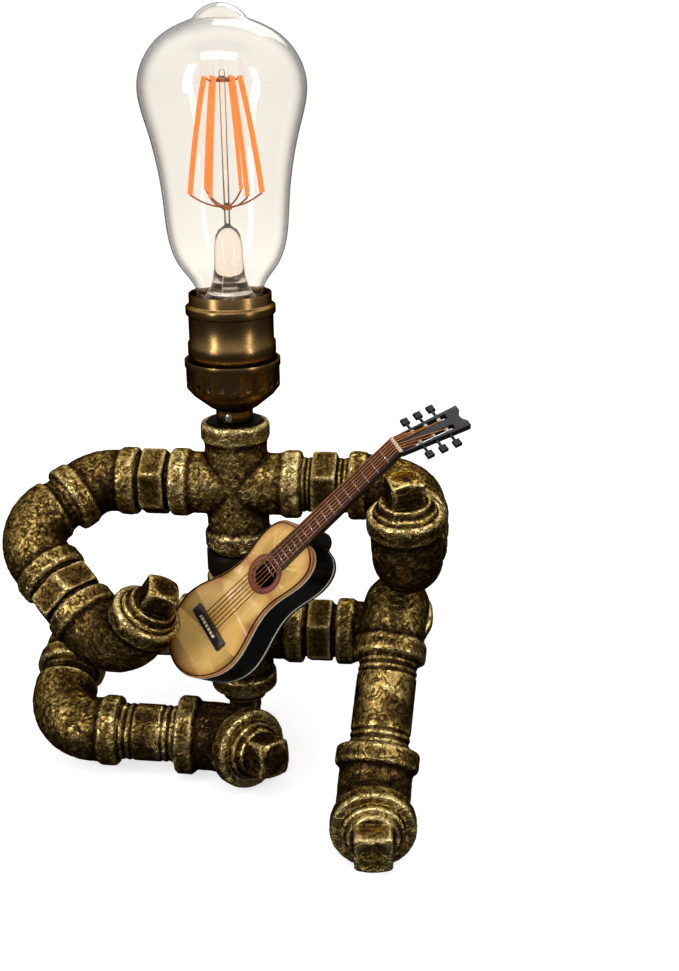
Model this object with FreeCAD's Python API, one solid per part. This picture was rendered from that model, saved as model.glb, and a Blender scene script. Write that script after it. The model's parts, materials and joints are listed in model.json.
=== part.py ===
import FreeCAD, Part
import math
import os
from FreeCAD import Placement, Rotation, Vector

# Desk lamp in the form of a seated figure made of threaded pipe fittings, holding a small guitar.
# Millimetres, +Z up, +X to the viewer's right, -Y towards the viewer.
# The origin is on the table, under the middle of the trunk, at the flat end of the seat plug.

# Pipe thread and fit
thread_radius = 10.6
thread_fit = 0.05
thread_pitch = 1.8
thread_depth = 0.7
engagement = 9.5
socket_depth = 11.0
waterway_radius = 8.0
nipple_bore = 7.6

# Fitting sizes
reach = 25.2
body_wall = 1.4
band_wall = 2.55
body_radius = thread_radius + body_wall
band_radius = thread_radius + band_wall
band_width = 6.2
band_bevel = 0.9
band_slope = 1.6
bend_clearance = 0.1
bend_radius = reach - engagement - bend_clearance
short_reach = 15.7
short_bend_inside = 1.0
short_bend_radius = body_radius + short_bend_inside
foot_reach = 17.6
foot_body_wall = 2.2
foot_band_wall = 4.05
foot_body_radius = thread_radius + foot_body_wall
foot_band_radius = thread_radius + foot_band_wall
foot_bend_inside = 3.2
foot_bend_radius = foot_body_radius + foot_bend_inside
socket_taper = 1.5
street_thread = 4.0
street_taper = 1.5
hex_wall = 1.1
hex_flats = 2 * (thread_radius + hex_wall)
hex_length = 9.4
hex_corner = 0.9
hex_bevel = 0.8
pipe_wall_rise = 0.05
pipe_radius = thread_radius + pipe_wall_rise
pipe_taper = 0.6

# Square plugs
plug_shoulder = 1.6
plug_collar_radius = 9.4
plug_collar_length = 2.6
plug_ease = 0.5
plug_taper = 0.8
hand_head_width = 11.6
foot_head_width = 12.8
head_length = 8.8
head_bevel = 1.3
head_corner = 0.6
head_sink = 1.0

# Exposed lengths between the faces of two joined fittings
trunk_gap = 11.1
right_shoulder_gap = 18.1
left_shoulder_gap = 13.0
right_forearm_gap = 12.7
left_forearm_gap = 12.9
right_hip_gap = 12.9
left_hip_gap = 14.5
right_shin_gap = 31.9
left_shin_gap = 22.0

# Male legs of the street elbows, from the elbow's centre to the face they enter
left_arm_street = 22.0
right_thigh_street = 21.7
left_thigh_street = 25.0

# How the limbs are turned, in degrees
right_forearm_rise = -9.2
right_hand_turn = 1.5
left_upper_arm_rise = -31.9
left_forearm_turn = 52.8
left_hand_turn = 41.4
right_thigh_rise = 42.9
right_shin_turn = -3.9
right_foot_turn = -6.7
left_thigh_rise = -26.05
left_shin_turn = -2.0
left_foot_turn = -10.7

# Cable outlet at the back of the hip cross
outlet_face = 11.3
outlet_spot_radius = 7.2
grommet_radius = 5.0
grommet_flange_radius = 6.6
grommet_flange = 1.5
grommet_inside = 4.3
cable_radius = 3.0

# Lampholder, heights above the top face of the shoulder cross
bushing_bore = 5.1
bushing_rise = 0.5
neck_radius = 7.0
neck_start = 0.9
neck_height = 4.9
cup_rim_step = 0.4
cup_shoulder = 12.5
cup_bowl_steps = ((8.1, 6.3), (4.9, 8.9), (2.1, 11.2))
cup_bowl_inside_steps = ((2.8, 12.0), (5.6, 9.8), (8.6, 7.2))
cup_rim_low = 21.5
cup_rim_top = 24.4
vent_count = 22
vent_radius = 0.8
vent_height = 16.2
vent_first = 4.0
holder_wall = 0.8
shell_step = 0.65
shell_bead = 0.9
shell_rim_step = 0.45
shell_gap = 0.7
cup_gap = 0.95
shell_step_low = 26.6
shell_step_top = 31.6
shell_bead_low = 41.6
shell_bead_top = 45.2
shell_top = 49.1
shell_foot = 19.0
set_screw_radius = 1.35
set_screw_height = 2.9
set_screw_turn = -8.0
lamp_nipple_radius = 5.0
lamp_nipple_bore = 3.6
lamp_nipple_low = -9.0
lamp_nipple_top = 11.2
lock_nut_flats = 13.0
lock_nut_height = 2.4
core_gap = 0.2
core_low = 12.0
core_top = 20.6
liner_thickness = 0.5
screw_shell_gap = 0.85
screw_shell_wall = 0.45
screw_shell_top = 45.5
contact_radius = 3.4

# Bulb, heights above the top face of the shoulder cross
cap_radius = 12.95
cap_pitch = 3.63
cap_groove = 0.7
cap_low = 25.3
cap_top = 47.2
tip_low = 22.6
tip_radius = 4.6
glass_wall = 0.8
glass_low = 45.8
glass_neck_gap = 0.95
glass_side = 98.1
glass_stations = ((12.6, 0.052), (17.6, 0.1305), (22.7, 0.3741), (27.1, 0.633), (29.6, 0.7849), (20.5, 0.946))
glass_shoulder_radius = 9.4
glass_tip_rise = 5.0
stem_radius = 5.2
stem_top = glass_low + 0.277 * glass_side
stem_foot_radius = 10.8
rod_radius = 1.1
rod_top = glass_low + 0.828 * glass_side
filament_count = 6
filament_first = 15.0
filament_width = 2.0
filament_thickness = 0.9
filament_low = glass_low + 0.3965 * glass_side
filament_top = glass_low + 0.8053 * glass_side
filament_low_spread = 12.9
filament_top_spread = 6.2
wire_radius = 0.35
hub_radius = 1.9
hub_drop = 4.9
hub_dip = 1.2
hub_heights = (filament_low - hub_drop, filament_top - hub_dip)
hub_width = 1.6

# The lampholder is built outwards from the bulb's cap
glass_neck_radius = cap_radius - glass_neck_gap
screw_shell_radius = cap_radius + screw_shell_gap
core_radius = screw_shell_radius - core_gap
shell_rim_radius = screw_shell_radius + shell_gap + holder_wall
shell_radius = shell_rim_radius + shell_rim_step
shell_step_radius = shell_radius + shell_step
shell_bead_radius = shell_radius + shell_bead
cup_radius = shell_radius + holder_wall + cup_gap
cup_rim_radius = cup_radius + cup_rim_step
cup_bowl = [(cup_radius - step, height) for step, height in cup_bowl_steps]
cup_bowl_inside = [(cup_radius - step, height) for step, height in cup_bowl_inside_steps]

# Guitar, in its own frame: X towards the head, Y to the bass side, Z out of the front
guitar_place = Vector(30.4, -41.6, 94.7)
guitar_neck_yaw = 4.8
guitar_neck_rise = 45.5
guitar_roll = 43.5
body_length = 69.4
lower_bout = 17.6
waist = 11.4
upper_bout = 13.3
guitar_depth = 15.4
plate = 1.2
rib_wall = 1.3
binding_height = 0.8
hole_place = -20.0
hole_radius = 5.0
rosette_radius = 7.4
rosette_depth = 0.35
bridge_place = -49.4
bridge_length = 20.0
bridge_width = 4.2
bridge_height = 1.3
saddle_height = 0.7
saddle_width = 0.8
nut_place = 47.0
board_start = -13.5
board_height = 1.1
board_nut_width = 7.0
board_body_width = 8.6
fret_count = 19
fret_width = 0.35
fret_height = 0.25
neck_depth = 3.4
heel_length = 6.5
heel_depth = 12.5
head_angle = 36.0
head_length_guitar = 27.0
head_width = 10.2
head_thickness = 2.6
head_slot_width = 2.0
head_slot_length = 16.0
head_slot_start = 5.5
peg_spacing = 5.4
peg_shaft_radius = 0.55
peg_shaft_length = 2.6
peg_knob_radius = 1.5
peg_knob_thickness = 2.4
string_count = 6
string_radius = 0.22
string_span_nut = 5.4
string_span_bridge = 8.4
string_clearance = 0.03

# Bracket that carries the guitar
clip_wall = 2.2
clip_height = 8.0
clip_fit = 0.05
strap_width = 9.0
strap_thickness = 2.2
strap_place = -31.0
strap_end = -7.0
strap_overhang = 3.5
tie_half = 2.6
tie_drop = 1.3
bracket_screw_radius = 1.5
bracket_screw_head = 2.6
bracket_screw_rise = 1.2

hair = 0.3
X = Vector(1, 0, 0)
Y = Vector(0, 1, 0)
Z = Vector(0, 0, 1)
pieces = {}


def unit(v):
    return v * (1.0 / v.Length)


def in_side_plane(rise):
    """Direction in the YZ plane that points to the viewer and climbs by rise degrees."""
    a = math.radians(rise)
    return Vector(0, -math.cos(a), math.sin(a))


def turned(direction, side, bend, spin):
    """The direction after a bend away from itself towards side, spun round itself by spin degrees."""
    d = unit(direction)
    u = unit(side - d * side.dot(d))
    w = d.cross(u)
    s = math.radians(spin)
    b = math.radians(bend)
    away = u * math.cos(s) + w * math.sin(s)
    return d * math.cos(b) + away * math.sin(b)


def seat(point, axis):
    """Placement that puts local Z along axis, with its origin at point."""
    return Placement(point, Rotation(Z, axis))


def lathe(profile, place=None):
    """Solid of revolution about local Z from (radius, height) corners."""
    corners = [Vector(r, 0, z) for r, z in profile]
    corners.append(corners[0])
    shape = Part.Face(Part.makePolygon(corners)).revolve(Vector(), Z, 360)
    shape = Part.makeSolid(shape) if shape.ShapeType != "Solid" else shape
    if place is not None:
        shape.Placement = place
    return shape


def joined(shapes):
    whole = shapes[0].fuse(shapes[1:]) if len(shapes) > 1 else shapes[0]
    return whole.removeSplitter()


def port_outside(centre, axis, length, body, band):
    """Female branch of a fitting, from its centre to its banded end."""
    slope = length - band_width - band_slope
    return lathe([
        (0, 0), (body, 0), (body, slope), (band, slope + band_slope),
        (band, length - band_bevel), (band - band_bevel, length), (0, length),
    ], seat(centre, axis))


def port_inside(centre, axis, length):
    """Threaded socket and the waterway behind it."""
    r = thread_radius + thread_fit
    return lathe([
        (0, 0), (waterway_radius, 0), (waterway_radius, length - socket_depth),
        (r, length - socket_depth + socket_taper), (r, length + 1), (0, length + 1),
    ], seat(centre, axis))


def thread_profile(low, high, radius, pitch, depth):
    """Corners of a grooved outside, from low to high."""
    count = max(1, int((high - low) / pitch))
    step = (high - low) / count
    corners = []
    for i in range(count):
        z = low + i * step
        corners += [(radius - depth, z), (radius, z + 0.35 * step), (radius, z + 0.65 * step)]
    corners.append((radius - depth, high))
    return corners


def male_leg(centre, axis, face, start, body):
    """Male branch of a street elbow, from start to where it ends inside the next fitting."""
    groove_low = face - street_thread
    profile = [(0, start), (body, start), (body, groove_low - street_taper), (thread_radius, groove_low)]
    profile += thread_profile(groove_low + 0.1, face - 0.1, thread_radius, thread_pitch, thread_depth)
    profile += [(thread_radius, face), (thread_radius, face + engagement), (0, face + engagement)]
    return lathe(profile, seat(centre, axis))


def arc_between(centre, a, b, radius, bend_r):
    """Round bend that leaves along direction a and along direction b of a fitting's centre."""
    cos_between = a.dot(b)
    turn = math.pi - math.acos(max(-1, min(1, cos_between)))
    tangent = bend_r * math.tan(turn / 2)
    e = unit(b - a * cos_between)
    pivot = centre + a * tangent + e * bend_r
    start = Part.Face(Part.Wire(Part.makeCircle(radius, centre + a * tangent, a)))
    solid = start.revolve(pivot, e.cross(a), math.degrees(turn))
    return solid, tangent


def elbow(centre, a, b, length, body, band, bend_r, street=None):
    """Elbow with a socket along a and b. With street, branch a is male and enters a face at that distance."""
    outer_bend, tangent = arc_between(centre, a, b, body, bend_r)
    inner_bend, tangent = arc_between(centre, a, b, waterway_radius, bend_r)

    def trimmed(shape, axis):
        keep = Part.makeCylinder(2.5 * reach, 5 * reach, centre + axis * tangent, axis)
        return shape.common(keep)

    outside = [outer_bend, trimmed(port_outside(centre, b, length, body, band), b)]
    inside = [inner_bend, trimmed(port_inside(centre, b, length), b)]
    if street is None:
        outside.append(trimmed(port_outside(centre, a, length, body, band), a))
        inside.append(trimmed(port_inside(centre, a, length), a))
    else:
        outside.append(male_leg(centre, a, street, tangent, body))
        inside.append(Part.makeCylinder(nipple_bore, street + engagement, centre + a * tangent, a))
    return joined(outside).cut(joined(inside)).removeSplitter()


def cross(centre, axes):
    """Four-way fitting."""
    outside = joined([port_outside(centre, a, reach, body_radius, band_radius) for a in axes])
    inside = joined([port_inside(centre, a, reach) for a in axes])
    return outside.cut(inside).removeSplitter()


def hexagon(flats, low, high, place):
    r = flats / math.sqrt(3)
    corners = [Vector(r * math.cos(math.radians(60 * i)), r * math.sin(math.radians(60 * i)), low)
               for i in range(7)]
    prism = Part.Face(Part.makePolygon(corners)).extrude(Vector(0, 0, high - low))
    ball = lathe([(0, low), (r - hex_corner, low), (r, low + hex_bevel), (r, high - hex_bevel),
                  (r - hex_corner, high), (0, high)])
    prism = prism.common(ball)
    prism.Placement = place
    return prism


def nipple(face, axis, gap, hexed=True):
    """Threaded tube between two faces a gap apart, with a hexagon in the middle where asked."""
    place = seat(face, axis)
    profile = [(nipple_bore, -engagement), (thread_radius, -engagement), (thread_radius, 0)]
    profile += thread_profile(0.1, gap - 0.1, thread_radius, thread_pitch, thread_depth)
    profile += [(thread_radius, gap), (thread_radius, gap + engagement), (nipple_bore, gap + engagement)]
    tube = lathe(profile, place)
    if not hexed:
        return tube
    low = (gap - hex_length) / 2
    collar = hexagon(hex_flats, low, low + hex_length, place)
    collar = collar.cut(Part.makeCylinder(nipple_bore, gap, face, axis))
    return joined([tube, collar])


def plain_pipe(face, axis, gap):
    """Pipe with its ends threaded into the two fittings."""
    visible = 3 * thread_pitch
    profile = [(nipple_bore, -engagement), (thread_radius, -engagement), (thread_radius, 0)]
    profile += thread_profile(0.1, visible, thread_radius, thread_pitch, thread_depth)
    profile += [(pipe_radius, visible + pipe_taper), (pipe_radius, gap - visible - pipe_taper)]
    profile += thread_profile(gap - visible, gap - 0.1, thread_radius, thread_pitch, thread_depth)
    profile += [(thread_radius, gap), (thread_radius, gap + engagement), (nipple_bore, gap + engagement)]
    return lathe(profile, seat(face, axis))


def square_plug(face, axis, side, width):
    """Square-headed plug screwed into a face, its flats turned towards side."""
    collar = plug_shoulder + plug_collar_length
    end = collar + head_length
    profile = [(0, -engagement), (thread_radius, -engagement), (thread_radius, 0)]
    profile += [(thread_radius, plug_shoulder - plug_ease), (thread_radius - plug_ease, plug_shoulder)]
    profile += [(plug_collar_radius, plug_shoulder), (plug_collar_radius - plug_taper, collar), (0, collar)]
    stem = lathe(profile, seat(face, axis))
    across = unit(side - axis * side.dot(axis))
    frame = Placement(face, Rotation(across, axis.cross(across), axis, "ZXY"))
    foot = collar - head_sink
    head = Part.makeBox(width, width, end - foot, Vector(-width / 2, -width / 2, foot))
    r = width / math.sqrt(2) - head_corner
    corner = lathe([(0, foot), (r, foot), (r, end - head_bevel), (r - 2 * head_bevel, end), (0, end)])
    head = head.common(corner)
    head.Placement = frame
    return joined([stem, head])


# Trunk
plug_length = plug_shoulder + plug_collar_length + head_length
hips = Z * (plug_length + reach)
shoulders = hips + Z * (2 * reach + trunk_gap)
collar_top = shoulders + Z * reach

pieces["shoulder_cross"] = cross(shoulders, (X, -X, Z, -Z))
pieces["trunk_nipple"] = nipple(hips + Z * reach, Z, trunk_gap, hexed=False)
hip_cross = cross(hips, (X, -X, Z, -Z))
spot = Part.makeCylinder(outlet_spot_radius, 10, hips + Y * outlet_face, Y)
outlet = Part.makeCylinder(grommet_radius + thread_fit, 10, hips + Y * (outlet_face - 6), Y)
pieces["hip_cross"] = hip_cross.cut(spot).cut(outlet).removeSplitter()
pieces["seat_plug"] = square_plug(hips - Z * reach, -Z, X, hand_head_width)
pieces["cable_grommet"] = lathe([
    (cable_radius, -grommet_inside), (grommet_radius, -grommet_inside), (grommet_radius, 0),
    (grommet_flange_radius, 0), (grommet_flange_radius, grommet_flange - 0.6),
    (grommet_flange_radius - 0.6, grommet_flange), (cable_radius, grommet_flange),
], seat(hips + Y * outlet_face, Y))

# Right arm
face = shoulders + X * reach
pieces["right_shoulder_nipple"] = nipple(face, X, right_shoulder_gap)
centre = face + X * (right_shoulder_gap + reach)
forearm = in_side_plane(right_forearm_rise)
pieces["right_shoulder_elbow"] = elbow(centre, -X, forearm, reach, body_radius, band_radius, bend_radius)
face = centre + forearm * reach
right_wrist = face
right_wrist_axis = forearm
pieces["right_forearm_nipple"] = nipple(face, forearm, right_forearm_gap)
centre = face + forearm * (right_forearm_gap + reach)
palm = turned(forearm, Z, 90, right_hand_turn)
pieces["right_hand_elbow"] = elbow(centre, -forearm, palm, reach, body_radius, band_radius, bend_radius)
pieces["right_hand_plug"] = square_plug(centre + palm * reach, palm, X + Y * 0.35, hand_head_width)

# Left arm
face = shoulders - X * reach
left_shoulder = face
pieces["left_shoulder_nipple"] = nipple(face, -X, left_shoulder_gap)
centre = face - X * (left_shoulder_gap + short_reach)
slant = in_side_plane(left_upper_arm_rise)
upper_arm = unit(slant - X)
pieces["left_shoulder_elbow"] = elbow(centre, X, upper_arm, short_reach, body_radius, band_radius,
                                      short_bend_radius)
centre = centre + upper_arm * (short_reach + left_arm_street)
forearm = turned(upper_arm, -Z, 90, left_forearm_turn)
pieces["left_elbow"] = elbow(centre, -upper_arm, forearm, reach, body_radius, band_radius, bend_radius,
                             street=left_arm_street)
face = centre + forearm * reach
left_wrist = face
left_wrist_axis = forearm
pieces["left_forearm_nipple"] = nipple(face, forearm, left_forearm_gap)
centre = face + forearm * (left_forearm_gap + reach)
palm = turned(forearm, X, 90, left_hand_turn)
pieces["left_hand_elbow"] = elbow(centre, -forearm, palm, reach, body_radius, band_radius, bend_radius)
pieces["left_hand_plug"] = square_plug(centre + palm * reach, palm, X + Y * 0.2, hand_head_width)


def leg(name, side, hip_gap, rise, street, shin_side, shin_turn, shin_gap, foot_turn):
    """One leg, from the hip's port to the square plug in its foot. Returns the ankle's face and axis."""
    face = hips + side * reach
    pieces[name + "_hip_nipple"] = nipple(face, side, hip_gap)
    centre = face + side * (hip_gap + reach)
    thigh = in_side_plane(rise)
    pieces[name + "_hip_elbow"] = elbow(centre, -side, thigh, reach, body_radius, band_radius, bend_radius)
    centre = centre + thigh * (reach + street)
    shin = turned(thigh, shin_side, 90, shin_turn)
    pieces[name + "_knee_elbow"] = elbow(centre, -thigh, shin, reach, body_radius, band_radius,
                                         bend_radius, street=street)
    face = centre + shin * reach
    pieces[name + "_shin_pipe"] = plain_pipe(face, shin, shin_gap)
    ankle = face + shin * shin_gap
    centre = ankle + shin * foot_reach
    toe = turned(shin, -Y, 45, foot_turn)
    pieces[name + "_foot_elbow"] = elbow(centre, -shin, toe, foot_reach, foot_body_radius,
                                         foot_band_radius, foot_bend_radius)
    pieces[name + "_foot_plug"] = square_plug(centre + toe * foot_reach, toe, X, foot_head_width)
    for label, point, axis in (("ankle", ankle, shin), ("toe", centre + toe * foot_reach, toe)):
        low = point.z - foot_band_radius * math.sqrt(1 - axis.z ** 2)
        print(name, label, "band's lowest point", round(low, 3))
    return ankle, shin


right_ankle = leg("right", X, right_hip_gap, right_thigh_rise, right_thigh_street, -Z,
                  right_shin_turn, right_shin_gap, right_foot_turn)
left_ankle = leg("left", -X, left_hip_gap, left_thigh_rise, left_thigh_street, X,
                 left_shin_turn, left_shin_gap, left_foot_turn)

# Lampholder
base = seat(collar_top, Z)
pieces["top_bushing"] = lathe([
    (bushing_bore, -engagement), (thread_radius, -engagement), (thread_radius, bushing_rise - 0.3),
    (thread_radius - 0.3, bushing_rise), (bushing_bore, bushing_rise),
], base)
pieces["lamp_nipple"] = lathe([
    (lamp_nipple_bore, lamp_nipple_low), (lamp_nipple_radius, lamp_nipple_low),
    (lamp_nipple_radius, lamp_nipple_top), (lamp_nipple_bore, lamp_nipple_top),
], base)
neck_bore = lamp_nipple_radius + thread_fit
cup = lathe([
    (neck_bore, neck_start), (neck_radius, neck_start), (neck_radius, neck_height),
    *cup_bowl, (cup_radius, cup_shoulder + 1.4), (cup_radius, cup_rim_low),
    (cup_rim_radius, cup_rim_low + 0.5), (cup_rim_radius, cup_rim_top),
    (cup_rim_radius - holder_wall - 0.4, cup_rim_top), (cup_radius - holder_wall, cup_rim_low),
    (cup_radius - holder_wall, cup_shoulder + 1.6), *cup_bowl_inside, (neck_bore, cup_bowl_inside[-1][1]),
], base)
vents = []
for i in range(vent_count):
    vent = Part.makeCylinder(vent_radius, 4, Vector(cup_radius - 2.5, 0, vent_height), X)
    vent.Placement = Placement(collar_top, Rotation(Z, 360.0 * i / vent_count + vent_first))
    vents.append(vent)
screw_turn = Placement(collar_top, Rotation(Z, set_screw_turn))
screw_hole = Part.makeCylinder(set_screw_radius + thread_fit, 4, Vector(0, -neck_radius - 1, set_screw_height), Y)
screw_hole.Placement = screw_turn
pieces["socket_cap"] = cup.cut(vents).cut(screw_hole)
screw = Part.makeCylinder(set_screw_radius, neck_radius - neck_bore + 0.3,
                          Vector(0, -neck_radius - 0.4, set_screw_height), Y)
slot = Part.makeBox(0.5, 0.6, 4, Vector(-0.25, -neck_radius - 0.5, set_screw_height - 2))
screw = screw.cut(slot)
screw.Placement = screw_turn
pieces["set_screw"] = screw
nut_low = 7.2
nut = hexagon(lock_nut_flats, nut_low, nut_low + lock_nut_height, base)
pieces["lock_nut"] = nut.cut(Part.makeCylinder(neck_bore, 8, collar_top + Z * (nut_low - 1), Z))
shell_inside = shell_radius - holder_wall
pieces["socket_shell"] = lathe([
    (shell_inside, shell_foot), (shell_radius, shell_foot), (shell_radius, shell_step_low - 0.8),
    (shell_step_radius, shell_step_low), (shell_step_radius, shell_step_top - 1.0),
    (shell_radius, shell_step_top), (shell_radius, shell_bead_low - 0.6), (shell_bead_radius, shell_bead_low),
    (shell_bead_radius, shell_bead_top - 0.9), (shell_rim_radius, shell_bead_top),
    (shell_rim_radius, shell_top), (shell_rim_radius - holder_wall, shell_top),
    (shell_rim_radius - holder_wall, shell_bead_top), (shell_inside, shell_bead_top - 1.2),
], base)
pieces["socket_core"] = lathe([
    (3.0, core_low), (core_radius - 2.5, core_low), (core_radius, core_low + 3), (core_radius, core_top),
    (contact_radius + 0.2, core_top), (contact_radius + 0.2, core_top - 2.5), (3.0, core_top - 2.5),
], base)
liner_low = shell_foot + 1.0
pieces["socket_liner"] = lathe([
    (shell_inside - 0.1 - liner_thickness, liner_low), (shell_inside - 0.1, liner_low),
    (shell_inside - 0.1, shell_bead_top - 2.0), (shell_inside - 0.1 - liner_thickness, shell_bead_top - 2.0),
], base)
pieces["screw_shell"] = lathe([
    (contact_radius + 2.0, core_top), (screw_shell_radius, core_top),
    (screw_shell_radius, screw_shell_top), (screw_shell_radius - screw_shell_wall, screw_shell_top),
    (screw_shell_radius - screw_shell_wall, core_top + 0.5), (contact_radius + 2.0, core_top + 0.5),
], base)
contact_top = tip_low - hair
pieces["socket_contact"] = lathe([
    (0, core_top - 2.5), (contact_radius, core_top - 2.5), (contact_radius, core_top - 1.2),
    (2.4, core_top - 0.4), (2.0, contact_top), (0, contact_top),
], base)

# Bulb
pieces["bulb_contact"] = lathe([
    (0, tip_low), (tip_radius - 1.4, tip_low), (tip_radius, tip_low + 1.0), (tip_radius, cap_low - 0.4),
    (0, cap_low - 0.4),
], base)
insulator_low = cap_low - 0.4 + thread_fit
pieces["bulb_insulator"] = lathe([
    (0, insulator_low), (tip_radius + 0.6, insulator_low), (cap_radius - 3.0, cap_low + 1.6), (0, cap_low + 1.6),
], base)
cap_profile = [(cap_radius - 3.8, cap_low + 1.6), (cap_radius - 2.4, cap_low + 1.6)]
cap_profile += thread_profile(cap_low + 3.2, cap_top - 4.0, cap_radius, cap_pitch, cap_groove)
cap_profile += [(cap_radius, cap_top - 3.4), (cap_radius, cap_top), (cap_radius - 0.4, cap_top)]
cap_profile += [(cap_radius - 0.4, cap_top - 3.4), (cap_radius - 1.4, cap_top - 4.2),
                (cap_radius - 1.4, cap_low + 3.4)]
pieces["bulb_cap"] = lathe(cap_profile, base)


def glass_body(shrink, low):
    """Solid inside the glass's outer surface moved inwards by shrink, from the neck up to the round tip."""
    ball = (glass_shoulder_radius ** 2 + glass_tip_rise ** 2) / (2 * glass_tip_rise)
    ball_middle = glass_low + glass_side + glass_tip_rise - ball
    half_angle = math.asin(glass_shoulder_radius / ball) / 2
    ball -= shrink
    neck = Vector(glass_neck_radius - shrink, 0, low)
    shoulder = Vector(ball * math.sin(2 * half_angle), 0, ball_middle + ball * math.cos(2 * half_angle))
    tip_side = Vector(ball * math.sin(half_angle), 0, ball_middle + ball * math.cos(half_angle))
    top = Vector(0, 0, ball_middle + ball)
    stations = [(r, glass_low + share * glass_side) for r, share in glass_stations]
    belly = [Vector(r - shrink, 0, z) for r, z in stations[:-1]]
    crown = Vector(stations[-1][0] - 0.8 * shrink, 0, stations[-1][1] - 0.6 * shrink)
    curve = Part.BSplineCurve()
    curve.interpolate([neck] + belly + [crown, shoulder])
    tip = Part.Arc(shoulder, tip_side, top)
    axis_foot = Vector(0, 0, low)
    edges = [curve.toShape(), tip.toShape(), Part.makeLine(top, axis_foot), Part.makeLine(axis_foot, neck)]
    solid = Part.Face(Part.Wire(edges)).revolve(Vector(), Z, 360)
    solid.Placement = base
    return solid


pieces["bulb_glass"] = glass_body(0, glass_low).cut(glass_body(glass_wall, glass_low - 1))
stem_base = glass_low + 0.4
pieces["bulb_stem"] = lathe([
    (0, stem_base), (stem_foot_radius, stem_base), (stem_foot_radius - 2.2, stem_base + 2.5),
    (stem_radius + 0.6, stem_base + 8), (stem_radius, stem_top - 6), (stem_radius - 1.4, stem_top - 1),
    (rod_radius, stem_top), (rod_radius, rod_top), (0, rod_top),
], base)


def strip_ends(i):
    a = math.radians(filament_first + 360.0 * i / filament_count)
    out = Vector(math.cos(a), math.sin(a), 0)
    return out, out * filament_low_spread + Z * filament_low, out * filament_top_spread + Z * filament_top


def group(shapes, place=None):
    """Separate solids kept as one node."""
    whole = Part.makeCompound(shapes)
    if place is not None:
        whole.Placement = place
    return whole


strips = []
wires = []
for i in range(filament_count):
    out, low, high = strip_ends(i)
    along = unit(high - low)
    side = Z.cross(out)
    normal = unit(side.cross(along))
    strip = Part.makeBox(filament_width, filament_thickness, (high - low).Length,
                         Vector(-filament_width / 2, -filament_thickness / 2, 0))
    strip.Placement = Placement(low, Rotation(side, normal, along, "ZXY"))
    strips.append(strip)
    inner = out * (hub_radius - 0.3)
    stand_off = along * (wire_radius + thread_fit)
    for end, hub in ((low - stand_off, hub_heights[0]), (high + stand_off, hub_heights[1])):
        start = inner + Z * hub
        wires.append(Part.makeCylinder(wire_radius, (end - start).Length, start, unit(end - start)))
for height in hub_heights:
    wires.append(lathe([(rod_radius + thread_fit, height - hub_width / 2), (hub_radius, height - hub_width / 2),
                        (hub_radius, height + hub_width / 2), (rod_radius + thread_fit, height + hub_width / 2)]))
pieces["bulb_filaments"] = group(strips, base)
lower = [w for i, w in enumerate(wires[:-2]) if i % 2 == 0] + [wires[-2]]
upper = [w for i, w in enumerate(wires[:-2]) if i % 2 == 1] + [wires[-1]]
pieces["filament_supports"] = group([joined(lower), joined(upper)], base)

# Guitar
yaw = math.radians(guitar_neck_yaw)
climb = math.radians(guitar_neck_rise)
level = Vector(math.cos(yaw), math.sin(yaw), 0)
towards_head = level * math.cos(climb) + Z * math.sin(climb)
front_level = Z * math.cos(climb) - level * math.sin(climb)
treble_level = towards_head.cross(front_level)
roll = math.radians(guitar_roll)
front = front_level * math.cos(roll) + treble_level * math.sin(roll)
bass = front.cross(towards_head)
guitar = Placement(guitar_place, Rotation(towards_head, bass, front, "ZXY"))


def outline(inset, low, high):
    """Plate with the guitar's outline, inset all round, between two heights."""
    middle = -body_length / 2
    shrink = 1 - inset / (body_length / 2)
    # distances from the neck end as shares of the length, half widths as shares of the bouts
    stations = [(0, 0.466 * upper_bout), (0.0461, 0.857 * upper_bout), (0.1657, upper_bout),
                (0.281, 0.902 * upper_bout), (0.389, waist), (0.5115, 0.677 * waist + 0.323 * lower_bout),
                (0.6196, 0.926 * lower_bout), (0.7349, lower_bout), (0.8573, 0.852 * lower_bout),
                (0.9582, 0.523 * lower_bout)]

    def moved(share, half):
        return middle - (share * body_length + middle) * shrink, half - inset

    right = [Vector(*moved(x, h), low) for x, h in stations]
    left = [Vector(p.x, -p.y, low) for p in reversed(right)]
    tail = Vector(middle - (body_length / 2) * shrink, 0, low)
    head_end = Part.makeLine(left[-1], right[0])
    curve = Part.BSplineCurve()
    curve.interpolate(right + [tail] + left)
    face = Part.Face(Part.Wire([curve.toShape(), head_end]))
    return face.extrude(Vector(0, 0, high - low))


def on_guitar(name, shape):
    shape.Placement = guitar
    pieces[name] = shape


def bar(x_low, x_high, half_low, half_high, z_low, z_high):
    """Tapered bar along the guitar, with half widths at its two ends."""
    corners = [Vector(x_low, -half_low, z_low), Vector(x_high, -half_high, z_low),
               Vector(x_high, half_high, z_low), Vector(x_low, half_low, z_low)]
    corners.append(corners[0])
    return Part.Face(Part.makePolygon(corners)).extrude(Vector(0, 0, z_high - z_low))


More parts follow.
